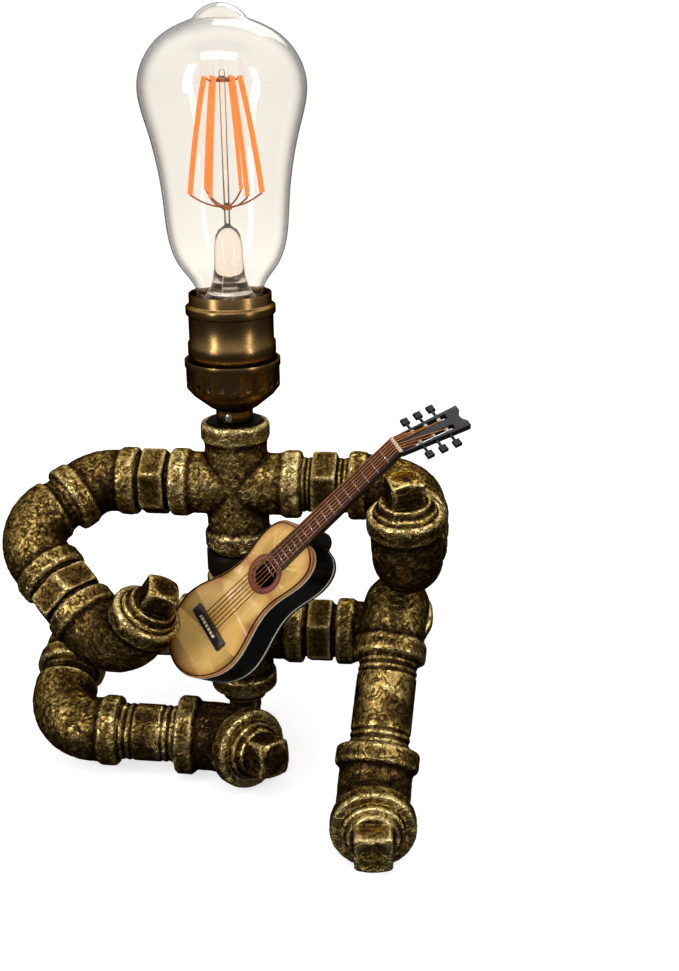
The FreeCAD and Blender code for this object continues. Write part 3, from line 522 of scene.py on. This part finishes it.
blackInsulator = moulded("blackInsulator", "#0b0b0c", "#1a191b", 0.25, scale=500, coat=0.4)
linerCard = moulded("linerCard", "#4d3b28", "#6b5238", 0.8, scale=700)
plainBrass = metal("plainBrass", "#8f6b32", "#c39c55", 0.3)
solder = metal("solder", "#8b8c8e", "#b7b8ba", 0.42)
# the second tone of each glass is its painted dark outline, seen edge on
glassMaterial = clearGlass("clearGlass", "#f8f5ef", "#5a5348")
stemGlass = clearGlass("stemGlass", "#f4e8dc", "#8a5a3a")
filamentGlow = glowing("filamentGlow", "#ff8a0c", "#fb7600", 1.12)
copperWire = metal("copperWire", "#7a3514", "#c9713a", 0.28)
blackLacquer = moulded(
    "blackLacquer", "#030303", "#0a0808", 0.2, scale=160, depth=0.00002, coat=0.12, gloss=0.35)
darkNeck = grainedWood("darkNeck", "#080404", "#180a09", 0.3, 0.15)
creamBinding = moulded("creamBinding", "#d8cfb8", "#efe8d6", 0.35, scale=500, coat=0.3)
creamBone = moulded("creamBone", "#e6dcc2", "#f5eedb", 0.4, scale=700)
blackBridge = grainedWood("blackBridge", "#070505", "#140d0c", 0.4, 0.1)
rosewood = grainedWood("rosewood", "#1e0a08", "#46190f", 0.42, 0.15)
fretSteel = metal("fretSteel", "#a9a8a4", "#e0dfdb", 0.22)
stringBronze = metal("stringBronze", "#8f4f22", "#d08a4c", 0.3)
pegBlack = moulded("pegBlack", "#050505", "#100e0e", 0.28, scale=400, coat=0.1, gloss=0.35)
blackSteel = metal("blackSteel", "#17130f", "#3b3026", 0.45, metallic=0.8)
spruceMaterial = spruceTop()
rosetteMaterial = rosetteRings()
print("materials made:", len(bpy.data.materials))


casting = {
    "voxel": 0.55,
    "fineVoxel": 0.42,    # for threads and plugs
    "quickVoxels": 1.8,
    "mergeGap": 0.001,
    "easeShare": 0.5,
    "easeRounds": 3,
    "grainSize": 2.3,
    "grainDepth": 0.34,
    "poreSize": 1.15,
    "poreDepth": 0.16,
    "wearNear": 5,        # rounds of easing that find small ridges and pits
    "shadeFar": 40,        # and the corners between band and body, which it darkens as painted shade
    "nearHeight": 0.085,
    "farHeight": 0.42,
    "wearAndShadeSwing": 0.26,
    # how dark the painted shade in the corners may go
    "cornerLimit": -0.10,
    "grainLevel": 0.62,   # above a half, so that the skin stays inside the CAD
}


def mergedCopy(nodeName, name):
    mesh = nodes[nodeName].data.copy()
    mesh.materials.clear()
    work = bmesh.new()
    work.from_mesh(mesh)
    bmesh.ops.remove_doubles(work, verts=work.verts, dist=casting["mergeGap"] * mm)
    bmesh.ops.dissolve_degenerate(work, edges=work.edges, dist=casting["mergeGap"] * 0.5 * mm)
    work.to_mesh(mesh)
    work.free()
    mesh.name = name
    return linked(bpy.data.objects.new(name, mesh))


def meshArrays(mesh):
    # points, normals and edges as rows
    points = np.empty(len(mesh.vertices) * 3)
    mesh.vertices.foreach_get("co", points)
    normals = np.empty(len(mesh.vertices) * 3)
    mesh.vertex_normals.foreach_get("vector", normals)
    edges = np.empty(len(mesh.edges) * 2, dtype=np.int32)
    mesh.edges.foreach_get("vertices", edges)
    return points.reshape(-1, 3), normals.reshape(-1, 3), edges.reshape(-1, 2)


def eased(points, edges, rounds):
    # points moved to the middle of their neighbours, again and again
    a, b = edges[:, 0], edges[:, 1]
    count = len(points)
    degree = np.maximum(np.bincount(edges.ravel(), minlength=count), 1)[:, None]
    result = points.copy()
    for _ in range(rounds):
        total = np.empty_like(result)
        for axis in range(3):
            total[:, axis] = np.bincount(a, result[b, axis], count) + np.bincount(b, result[a, axis], count)
        result = total / degree
    return result


def castTexture(name, size, depth):
    texture = bpy.data.textures.new(name, "CLOUDS")
    texture.noise_scale = size * mm
    texture.noise_depth = depth
    return texture


grainTexture = castTexture("castGrain", casting["grainSize"], 2)
poreTexture = castTexture("castPores", casting["poreSize"], 1)


def standing(points, normals, edges, rounds, height):
    # how far each point stands above its surroundings, as a share of the height
    away = ((points - eased(points, edges, rounds)) * normals).sum(1) / (height * mm)
    return away - np.median(away)


def paintWearAndShade(mesh):
    # 0 in folds and corners, 1 on what stands out, for the bronze's material: rubbed wear at the small
    # scale, and painted shade in the corners between band and body at the large
    points, normals, edges = meshArrays(mesh)
    near = standing(points, normals, edges, casting["wearNear"], casting["nearHeight"])
    far = standing(points, normals, edges, casting["shadeFar"], casting["farHeight"])
    swing = casting["wearAndShadeSwing"]
    # the far term darkens the corners between band and body: painted shade, held back by the corner limit
    wearAndShade = 0.5 + swing * np.tanh(near) + np.maximum(swing * np.tanh(far), casting["cornerLimit"])
    attribute = mesh.attributes.new("wearAndShade", "FLOAT", "POINT")
    attribute.data.foreach_set("value", np.clip(wearAndShade, 0, 1).astype(np.float32))


def castPiece(nodeName, voxel, rough):
    piece = mergedCopy(nodeName, nodeName + "_cast")
    remesh = piece.modifiers.new("remesh", "REMESH")
    remesh.mode = "VOXEL"
    remesh.voxel_size = voxel * mm * 1.0
    remesh.use_smooth_shade = True
    settled(piece)
    ease = piece.modifiers.new("ease", "SMOOTH")
    ease.factor = casting["easeShare"]
    ease.iterations = casting["easeRounds"]
    for texture, depth in ((grainTexture, casting["grainDepth"]), (poreTexture, casting["poreDepth"])):
        displace = piece.modifiers.new("grain", "DISPLACE")
        displace.texture = texture
        displace.texture_coords = "LOCAL"
        displace.strength = depth * rough * mm
        displace.mid_level = casting["grainLevel"]
    settled(piece)
    paintWearAndShade(piece.data)
    return piece


# node: material, share of the grain's depth, voxel
coarse, fine = casting["voxel"], casting["fineVoxel"]
castings = {
    "shoulder_cross": (crossBronze, 1.0, coarse),
    "hip_cross": (fittingBronze, 1.0, coarse),
    "trunk_nipple": (nippleBronze, 0.3, fine),
    "seat_plug": (plugBronze, 0.5, fine),
}
for name in ("right_shoulder", "right_hand", "right_hip", "right_knee", "right_foot",
             "left_shoulder", "left_hand", "left_hip", "left_knee", "left_foot"):
    castings[name + "_elbow"] = (fittingBronze, 1.0, coarse)
castings["left_elbow"] = (fittingBronze, 1.0, coarse)
for name in ("right_shoulder", "right_forearm", "right_hip", "left_shoulder", "left_forearm", "left_hip"):
    castings[name + "_nipple"] = (nippleBronze, 0.3, fine)
for name in ("right_shin", "left_shin"):
    castings[name + "_pipe"] = (pipeBronze, 0.25, fine)
for name in ("right_hand", "left_hand", "left_foot"):
    castings[name + "_plug"] = (plugBronze, 0.45, fine)
castings["right_foot_plug"] = (toeBrass, 0.35, fine)

for nodeName, (material, rough, voxel) in castings.items():
    piece = castPiece(nodeName, voxel, rough)
    dressed(piece, bodyOf[nodeName], "aged_bronze", material, nodeName)
print("castings made:", len(castings))


smoothing = {"sharpAngle": 32, "bevelAngle": 40, "segments": 2}


def smoothPiece(nodeName, slot, material, bevel):
    piece = mergedCopy(nodeName, nodeName + "_piece")
    if bevel:
        edge = piece.modifiers.new("edge", "BEVEL")
        edge.width = bevel * mm
        edge.segments = smoothing["segments"]
        edge.limit_method = "ANGLE"
        edge.angle_limit = math.radians(smoothing["bevelAngle"])
        settled(piece)
    piece.data.shade_smooth()
    piece.data.set_sharp_from_angle(angle=math.radians(smoothing["sharpAngle"]))
    return dressed(piece, bodyOf[nodeName], slot, material, nodeName)


# node, slot, material, bevel in millimetres
turned = (
    ("socket_cap", "holder_bronze", holderBronze, 0.12),
    ("socket_shell", "holder_bronze", holderBronze, 0.15),
    ("set_screw", "bright_screw", brightScrew, 0.08),
    ("top_bushing", "aged_bronze", nippleBronze, 0.12),
    ("cable_grommet", "black_rubber", blackRubber, 0.2),
    ("bulb_cap", "plain_brass", plainBrass, 0.0),
    ("guitar_top", "spruce", spruceMaterial, 0.0),
    ("guitar_rosette", "red_rosette", rosetteMaterial, 0.0),
    ("guitar_ribs", "black_lacquer", blackLacquer, 0.0),
    ("guitar_back", "black_lacquer", blackLacquer, 0.25),
    ("guitar_bridge", "black_bridge", blackBridge, 0.3),
    ("guitar_saddle", "cream_bone", creamBone, 0.15),
    ("guitar_neck", "dark_neck", darkNeck, 0.3),
    ("guitar_fretboard", "rosewood", rosewood, 0.15),
    ("guitar_nut", "cream_bone", creamBone, 0.15),
    ("guitar_pegs", "black_pegs", pegBlack, 0.15),
    ("guitar_binding", "cream_binding", creamBinding, 0.0),
    ("guitar_bracket", "black_steel", blackSteel, 0.3),
    ("bracket_screws", "black_steel", blackSteel, 0.15),
)
for nodeName, slot, material, bevel in turned:
    smoothPiece(nodeName, slot, material, bevel)
print("turned and sawn pieces made:", len(turned))


def geometryTree(name, sizes):
    # a tree with a geometry input, the named sizes as further inputs, and a geometry output
    tree = bpy.data.node_groups.new(name, "GeometryNodeTree")
    tree.is_modifier = True
    tree.interface.new_socket("Geometry", in_out="INPUT", socket_type="NodeSocketGeometry")
    for label, (kind, value) in sizes.items():
        socket = tree.interface.new_socket(label, in_out="INPUT", socket_type="NodeSocket" + kind)
        if value is not None:
            socket.default_value = value
    tree.interface.new_socket("Geometry", in_out="OUTPUT", socket_type="NodeSocketGeometry")
    start = tree.nodes.new("NodeGroupInput")
    end = tree.nodes.new("NodeGroupOutput")
    return tree, start.outputs, end


def closeTree(tree, end, geometry, material):
    real = addNode(tree, "GeometryNodeRealizeInstances", {0: geometry})
    smooth = addNode(tree, "GeometryNodeSetShadeSmooth", {0: real.outputs[0]})
    painted = addNode(tree, "GeometryNodeSetMaterial", {0: smooth.outputs[0], "Material": material})
    connect(tree, painted.outputs[0], end.inputs[0])


def grown(piece, tree, values):
    modifier = piece.modifiers.new(tree.name, "NODES")
    modifier.node_group = tree
    for item in tree.interface.items_tree:
        if item.in_out == "INPUT" and item.name in values:
            modifier[item.identifier] = values[item.name]
    return settled(piece)


def wireTree():
    tree, start, end = geometryTree("wireAlongPath", {
        "Radius": ("Float", 0.2 * mm), "Sides": ("Int", 10), "Material": ("Material", None)})
    ring = addNode(tree, "GeometryNodeCurvePrimitiveCircle", {
        "Resolution": start["Sides"], "Radius": start["Radius"]})
    wire = addNode(tree, "GeometryNodeCurveToMesh", {
        "Curve": start["Geometry"], "Profile Curve": ring.outputs[0], "Fill Caps": True})
    closeTree(tree, end, wire.outputs[0], start["Material"])
    return tree


def stripTree():
    tree, start, end = geometryTree("stripAlongPath", {
        "Width": ("Float", 1.0 * mm), "Height": ("Float", 0.4 * mm), "Corner": ("Float", 0.1 * mm),
        "Material": ("Material", None)})
    section = addNode(tree, "GeometryNodeCurvePrimitiveQuadrilateral", {
        "Width": start["Width"], "Height": start["Height"]})
    rounded = addNode(tree, "GeometryNodeFilletCurve", {
        "Curve": section.outputs[0], "Radius": start["Corner"], "Count": 3, "Limit Radius": True,
    }, mode="POLY")
    level = addNode(tree, "GeometryNodeSetCurveNormal", {"Curve": start["Geometry"]}, mode="Z_UP")
    strip = addNode(tree, "GeometryNodeCurveToMesh", {
        "Curve": level.outputs[0], "Profile Curve": rounded.outputs[0], "Fill Caps": True})
    closeTree(tree, end, strip.outputs[0], start["Material"])
    return tree


def fretTree():
    # fret n stands at nut - scale * (1 - 2 ** (-n / 12)), as on any guitar
    tree, start, end = geometryTree("fretsByScale", {
        "Frets": ("Int", 19), "Nut": ("Float", 0.047), "Scale Length": ("Float", 0.0964),
        "Half At Nut": ("Float", 0.0035), "Half At Body": ("Float", 0.0043),
        "Board Length": ("Float", 0.06), "Fret Radius": ("Float", 0.0002), "Board Top": ("Float", 0.0011),
        "Material": ("Material", None)})
    points = addNode(tree, "GeometryNodeMeshLine", {"Count": start["Frets"], "Offset": (0, 0, 0)})
    index = tree.nodes.new("GeometryNodeInputIndex").outputs[0]
    semitones = calculate(tree, "DIVIDE", calculate(tree, "ADD", index, 1.0), -12.0)
    power = calculate(tree, "POWER", 2.0, semitones)
    run = calculate(tree, "MULTIPLY", start["Scale Length"], calculate(tree, "SUBTRACT", 1.0, power))
    widening = calculate(tree, "SUBTRACT", start["Half At Body"], start["Half At Nut"])
    share = calculate(tree, "DIVIDE", run, start["Board Length"])
    half = calculate(tree, "MULTIPLY_ADD", share, widening, start["Half At Nut"])
    place = addNode(tree, "ShaderNodeCombineXYZ", {
        "X": calculate(tree, "SUBTRACT", start["Nut"], run), "Z": start["Board Top"]})
    moved = addNode(tree, "GeometryNodeSetPosition", {
        "Geometry": points.outputs[0], "Position": place.outputs[0]})
    crown = addNode(tree, "GeometryNodeMeshCylinder", {
        "Vertices": 12, "Radius": start["Fret Radius"], "Depth": 2.0})
    lying = addNode(tree, "GeometryNodeTransform", {
        "Geometry": crown.outputs[0], "Rotation": (math.radians(90), 0, 0)})
    size = addNode(tree, "ShaderNodeCombineXYZ", {"X": 1.0, "Y": half, "Z": 1.0})
    placedFrets = addNode(tree, "GeometryNodeInstanceOnPoints", {
        "Points": moved.outputs[0], "Instance": lying.outputs[0], "Scale": size.outputs[0]})
    closeTree(tree, end, placedFrets.outputs[0], start["Material"])
    return tree


def ringTree():
    # copies of the input round the Z axis
    tree, start, end = geometryTree("copiesRoundAxis", {
        "Count": ("Int", 6), "Material": ("Material", None)})
    points = addNode(tree, "GeometryNodeMeshLine", {"Count": start["Count"], "Offset": (0, 0, 0)})
    index = tree.nodes.new("GeometryNodeInputIndex").outputs[0]
    step = calculate(tree, "DIVIDE", 2 * math.pi, start["Count"])
    turn = addNode(tree, "ShaderNodeCombineXYZ", {"Z": calculate(tree, "MULTIPLY", index, step)})
    copies = addNode(tree, "GeometryNodeInstanceOnPoints", {
        "Points": points.outputs[0], "Instance": start["Geometry"], "Rotation": turn.outputs[0]})
    closeTree(tree, end, copies.outputs[0], start["Material"])
    return tree


def pathObject(name, runs, closed=False):
    # poly splines through the points of each run, in millimetres
    curve = bpy.data.curves.new(name, "CURVE")
    curve.dimensions = "3D"
    for run in runs:
        spline = curve.splines.new("POLY")
        spline.points.add(len(run) - 1)
        for point, corner in zip(spline.points, run):
            point.co = (*(Vector(corner) * mm), 1)
        spline.use_cyclic_u = closed
    return linked(bpy.data.objects.new(name, curve))


def splineThrough(points, samples):
    # a natural cubic through the points, which count by their distances
    points = np.array(points, float)
    gaps = np.linalg.norm(np.diff(points, axis=0), axis=1)
    knots = np.concatenate(([0], np.cumsum(gaps)))
    count = len(points)
    system, target = np.eye(count), np.zeros_like(points)
    for i in range(1, count - 1):
        system[i, i - 1], system[i, i + 1] = gaps[i - 1], gaps[i]
        system[i, i] = 2 * (gaps[i - 1] + gaps[i])
        after, before = (points[i + 1] - points[i]) / gaps[i], (points[i] - points[i - 1]) / gaps[i - 1]
        target[i] = 6 * (after - before)
    bend = np.linalg.solve(system, target)
    at = np.linspace(0, knots[-1], samples)
    which = np.clip(np.searchsorted(knots, at) - 1, 0, count - 2)
    h = gaps[which][:, None]
    a = (knots[which + 1] - at)[:, None]
    b = (at - knots[which])[:, None]
    cubic = (bend[which] * a ** 3 + bend[which + 1] * b ** 3) / (6 * h)
    return cubic + (points[which] / h - bend[which] * h / 6) * a + (
        points[which + 1] / h - bend[which + 1] * h / 6) * b


wires, strips, frets, copiesRound = wireTree(), stripTree(), fretTree(), ringTree()

# millimetres along the guitar's neck from its joint with the body
board = {
    "nut": 47.0, "bridge": -49.4, "start": -13.5, "top": 1.1, "halfAtNut": 3.35, "halfAtBody": 4.15,
    "frets": 19, "fretRadius": 0.24,
}
fretSeed = linked(bpy.data.objects.new("guitar_fret_wires", bpy.data.meshes.new("guitar_fret_wires")))
boardLength = board["nut"] - board["start"]
fretPiece = grown(fretSeed, frets, {
    "Frets": board["frets"], "Nut": board["nut"] * mm,
    "Scale Length": (board["nut"] - board["bridge"]) * mm,
    "Half At Nut": board["halfAtNut"] * mm, "Half At Body": board["halfAtBody"] * mm,
    "Board Length": boardLength * mm, "Fret Radius": board["fretRadius"] * mm,
    "Board Top": board["top"] * mm, "Material": fretSteel})
dressed(placed(fretPiece, guitarFrame), bodyOf["guitar_frets"], "fret_steel", None, "guitar_frets")

head = {
    "tilt": 36.0, "start": 47.6, "firstPeg": 8.1, "pegSpacing": 5.4, "slotSide": 2.55, "thickness": 2.6,
    "rollerRadius": 0.75, "rollerHalf": 1.15,
}
strings = {
    "count": 6, "radius": 0.2, "spanNut": 5.4, "spanBridge": 8.4, "saddleTop": 2.25, "nutTop": 1.78,
    "nutHalf": 0.5, "tieBack": 1.7, "tieTop": 1.45, "inSlot": 0.5, "slotStep": 0.35,
}
tilted = Matrix.Rotation(math.radians(head["tilt"]), 4, "Y")
headFrame = Matrix.Translation(Vector((head["start"], 0, 0))) @ tilted


def stringRuns():
    # tie, saddle, nut and roller of each string
    runs = []
    sideCount = strings["count"] // 2
    for i in range(strings["count"]):
        share = i / (strings["count"] - 1) - 0.5
        low, high = share * strings["spanBridge"], share * strings["spanNut"]
        side = 1 if share > 0 else -1
        # the inner strings reach the far rollers
        order = i - sideCount if side > 0 else sideCount - 1 - i
        peg = head["firstPeg"] + (sideCount - 1 - order) * head["pegSpacing"]
        across = side * (head["slotSide"] - strings["inSlot"] + strings["slotStep"] * order)
        runs.append([
            (board["bridge"] - strings["tieBack"], low, strings["tieTop"]),
            (board["bridge"], low, strings["saddleTop"]),
            (board["nut"] + strings["nutHalf"], high, strings["nutTop"]),
            tuple(headFrame @ Vector((peg, across, -head["thickness"] / 2 + head["rollerRadius"])))])
    return runs


stringPiece = grown(pathObject("guitar_string_set", stringRuns()), wires, {
    "Radius": strings["radius"] * mm, "Sides": 8, "Material": stringBronze})
dressed(placed(stringPiece, guitarFrame), bodyOf["guitar_strings"], "string_bronze", None, "guitar_strings")

rollers = []
for side in (-1, 1):
    for i in range(strings["count"] // 2):
        peg = head["firstPeg"] + i * head["pegSpacing"]
        rollers.append([
            tuple(headFrame @ Vector((peg, side * (head["slotSide"] + end), -head["thickness"] / 2)))
            for end in (-head["rollerHalf"], head["rollerHalf"])])
rollerPiece = grown(pathObject("guitar_string_rollers", rollers), wires, {
    "Radius": head["rollerRadius"] * mm, "Sides": 16, "Material": creamBone})
dressed(placed(rollerPiece, guitarFrame), bodyOf["guitar_pegs"], "cream_bone", None)


rim = {
    "stations": ((0, 6.2), (-3.2, 11.4), (-11.5, 13.3), (-19.5, 12.0), (-27.0, 11.4), (-35.5, 13.4),
                 (-43.0, 16.3), (-51.0, 17.6), (-59.5, 15.0), (-66.5, 9.2)),
    "length": 69.4, "inset": 0.62, "width": 1.25, "height": 0.34, "corner": 0.1, "samples": 150,
}


def rimPath():
    # the face's outline, set in by the same amount on every side
    middle = -rim["length"] / 2
    shrink = 1 - rim["inset"] / (rim["length"] / 2)
    side = [(middle + (x - middle) * shrink, half - rim["inset"]) for x, half in rim["stations"]]
    tail = [(middle - rim["length"] / 2 * shrink, 0)]
    around = side + tail + [(x, -y) for x, y in reversed(side)]
    return [(x, y, 0.0) for x, y in splineThrough(around, rim["samples"])]


rimPiece = grown(pathObject("guitar_face_rim", [rimPath()], closed=True), strips, {
    "Width": rim["height"] * mm, "Height": rim["width"] * mm, "Corner": rim["corner"] * mm,
    "Material": blackLacquer})
dressed(placed(rimPiece, guitarFrame), bodyOf["guitar_top"], "black_lacquer", None)
print("guitar trim made")


# millimetres from the bulb's own foot, which stands at "base"
bulb = {
    "base": 124.9,
    "stations": ((12.0, 45.8), (12.6, 50.9), (17.6, 58.6), (22.7, 82.5), (27.1, 107.9), (29.6, 122.8),
                 (20.5, 138.6), (9.4, 143.9)),
    "top": 148.9,
    "wall": 0.8,
    "sideSteps": 60,
    "capSteps": 10,
    "around": 128,
}


def spun(name, profile, around, closed=True):
    # (radius, height) corners spun about Z, where corners on the axis become poles
    onAxis = 1e-6
    verts, faces, rings = [], [], []
    for radius, height in profile:
        if radius < onAxis:
            rings.append([len(verts)])
            verts.append((0, 0, height * mm))
            continue
        rings.append(list(range(len(verts), len(verts) + around)))
        for i in range(around):
            angle = 2 * math.pi * i / around
            verts.append((radius * mm * math.cos(angle), radius * mm * math.sin(angle), height * mm))
    pairs = list(zip(rings, rings[1:] + rings[:1])) if closed else list(zip(rings, rings[1:]))
    for low, high in pairs:
        for i in range(around):
            j = (i + 1) % around
            corners = [low[i % len(low)], low[j % len(low)], high[j % len(high)], high[i % len(high)]]
            corners = list(dict.fromkeys(corners))
            if len(corners) > 2:
                faces.append(corners)
    mesh = bpy.data.meshes.new(name)
    mesh.from_pydata(verts, [], faces)
    work = bmesh.new()
    work.from_mesh(mesh)
    bmesh.ops.recalc_face_normals(work, faces=work.faces)
    work.to_mesh(mesh)
    work.free()
    mesh.shade_smooth()
    return linked(bpy.data.objects.new(name, mesh))


def glassProfile():
    # the blown side, then a ball cap up to the top, and the same set in by the wall
    low, high = bulb["stations"][-1], bulb["top"]
    climb = high - low[1]
    ball = (low[0] ** 2 + climb ** 2) / (2 * climb)
    side = [tuple(p) for p in splineThrough(bulb["stations"], bulb["sideSteps"])]
    half = math.asin(low[0] / ball)
    steps = bulb["capSteps"]
    angles = [half * (1 - k / steps) for k in range(1, steps + 1)]
    outer = np.array(side + [(ball * math.sin(a), high - ball + ball * math.cos(a)) for a in angles])
    slope = np.gradient(outer, axis=0)
    inwards = np.stack((-slope[:, 1], slope[:, 0]), 1) / np.linalg.norm(slope, axis=1)[:, None]
    inner = outer + inwards * bulb["wall"]
    inner[-1, 0] = outer[-1, 0] = 0.0
    inner[:, 0] = np.maximum(inner[:, 0], 0)
    return [(r, z + bulb["base"]) for r, z in outer], [(r, z + bulb["base"]) for r, z in inner]


def blownGlass():
    # outer and inner skin joined round the foot
    outer, inner = glassProfile()
    piece = spun("bulb_glass_envelope", outer, bulb["around"], closed=False)
    inside = spun("bulb_glass_inside", inner, bulb["around"], closed=False)
    flipped = bmesh.new()
    flipped.from_mesh(inside.data)
    bmesh.ops.reverse_faces(flipped, faces=flipped.faces)
    flipped.to_mesh(inside.data)
    flipped.free()
    work = bmesh.new()
    work.from_mesh(piece.data)
    work.from_mesh(inside.data)
    bpy.data.objects.remove(inside)
    bmesh.ops.bridge_loops(work, edges=[edge for edge in work.edges if edge.is_boundary])
    bmesh.ops.recalc_face_normals(work, faces=work.faces)
    for face in work.faces:
        face.smooth = True
    work.to_mesh(piece.data)
    work.free()
    return piece


dressed(blownGlass(), "bulb", "clear_glass", glassMaterial, "bulb_glass")

stem = {
    "profile": ((0.0, 46.2), (10.8, 46.2), (10.6, 47.0), (8.9, 48.6), (7.0, 51.5), (5.9, 55.0), (5.3, 60.0),
                (5.1, 66.0), (4.6, 69.6), (3.5, 71.8), (2.0, 72.8), (1.1, 73.6), (1.1, 126.4), (0.7, 127.0),
                (0.0, 127.0)),
    "around": 48, "filaments": 6, "first": 15.0, "width": 1.9, "height": 0.85, "corner": 0.1,
    "low": (12.9, 84.7), "high": (6.2, 124.8), "bow": 0.5, "bowSteps": 9,
    "hubs": (79.8, 123.6), "hubRadius": 1.9, "hubBore": 1.15, "hubHalf": 0.85, "hubEdge": 0.25,
    "hubAngle": 40, "hubAround": 32,
    "wireRadius": 0.33, "wireSag": 0.9, "wireSteps": 8, "overTip": 0.175, "inHub": 0.3,
}
stemProfile = [(r, z + bulb["base"]) for r, z in stem["profile"]]
stemPiece = spun("bulb_glass_stem", stemProfile, stem["around"], closed=False)
dressed(stemPiece, "bulb", "clear_glass", stemGlass, "bulb_stem")


def firstTurned(radius, height):
    # a place in the upright plane of the first filament
    angle = math.radians(stem["first"])
    return (radius * math.cos(angle), radius * math.sin(angle), height + bulb["base"])


def bowedFilament():
    (lowRadius, lowHeight), (highRadius, highHeight) = stem["low"], stem["high"]
    run = []
    for i in range(stem["bowSteps"]):
        t = i / (stem["bowSteps"] - 1)
        bulge = stem["bow"] * 4 * t * (1 - t)
        run.append(firstTurned(
            lowRadius + (highRadius - lowRadius) * t + bulge, lowHeight + (highHeight - lowHeight) * t))
    return run


def wireRuns():
    # from each hub to the filament's end, sagging between
    runs = []
    for end, hub in ((stem["low"], stem["hubs"][0]), (stem["high"], stem["hubs"][1])):
        first = (stem["hubRadius"] - stem["inHub"], hub)
        last = (end[0], end[1] + math.copysign(stem["overTip"], hub - end[1]))
        middle = ((first[0] + last[0]) / 2, (first[1] + last[1]) / 2 - stem["wireSag"])
        runs.append([firstTurned(r, z) for r, z in splineThrough((first, middle, last), stem["wireSteps"])])
    return runs


def hubRing(height):
    radius, bore, half, edge = (stem[key] for key in ("hubRadius", "hubBore", "hubHalf", "hubEdge"))
    corners = [(bore, -half), (radius - edge, -half), (radius, -half / 2),
               (radius, half / 2), (radius - edge, half), (bore, half)]
    return spun("hub", [(r, height + z + bulb["base"]) for r, z in corners], stem["hubAround"])


strip = grown(pathObject("bulb_filament_strips", [bowedFilament()]), strips, {
    "Width": stem["height"] * mm, "Height": stem["width"] * mm, "Corner": stem["corner"] * mm,
    "Material": filamentGlow})
filamentPiece = grown(strip, copiesRound, {"Count": stem["filaments"], "Material": filamentGlow})
dressed(filamentPiece, "bulb", "glowing_filament", None, "bulb_filaments")

wirePiece = grown(pathObject("bulb_support_wires", wireRuns()), wires, {
    "Radius": stem["wireRadius"] * mm, "Sides": 8, "Material": copperWire})
wirePiece = grown(wirePiece, copiesRound, {"Count": stem["filaments"], "Material": copperWire})
work = bmesh.new()
work.from_mesh(wirePiece.data)
for hub in stem["hubs"]:
    collar = hubRing(hub)
    work.from_mesh(collar.data)
    bpy.data.objects.remove(collar)
work.to_mesh(wirePiece.data)
work.free()
wirePiece.data.set_sharp_from_angle(angle=math.radians(stem["hubAngle"]))
dressed(wirePiece, "bulb", "copper_wire", copperWire, "filament_supports")
print("bulb made")

# the CAD nodes that keep their shape and get a finish
kept = {
    "lamp_nipple": platedSteel, "lock_nut": platedSteel, "socket_core": whiteCeramic,
    "socket_liner": linerCard, "screw_shell": plainBrass, "socket_contact": plainBrass,
    "bulb_contact": solder, "bulb_insulator": blackInsulator,
}
for nodeName, material in kept.items():
    nodes[nodeName].data.materials.clear()
    nodes[nodeName].data.materials.append(material)
    finished.add(nodeName)
print("nodes without a finish:", sorted(set(nodes) - finished))
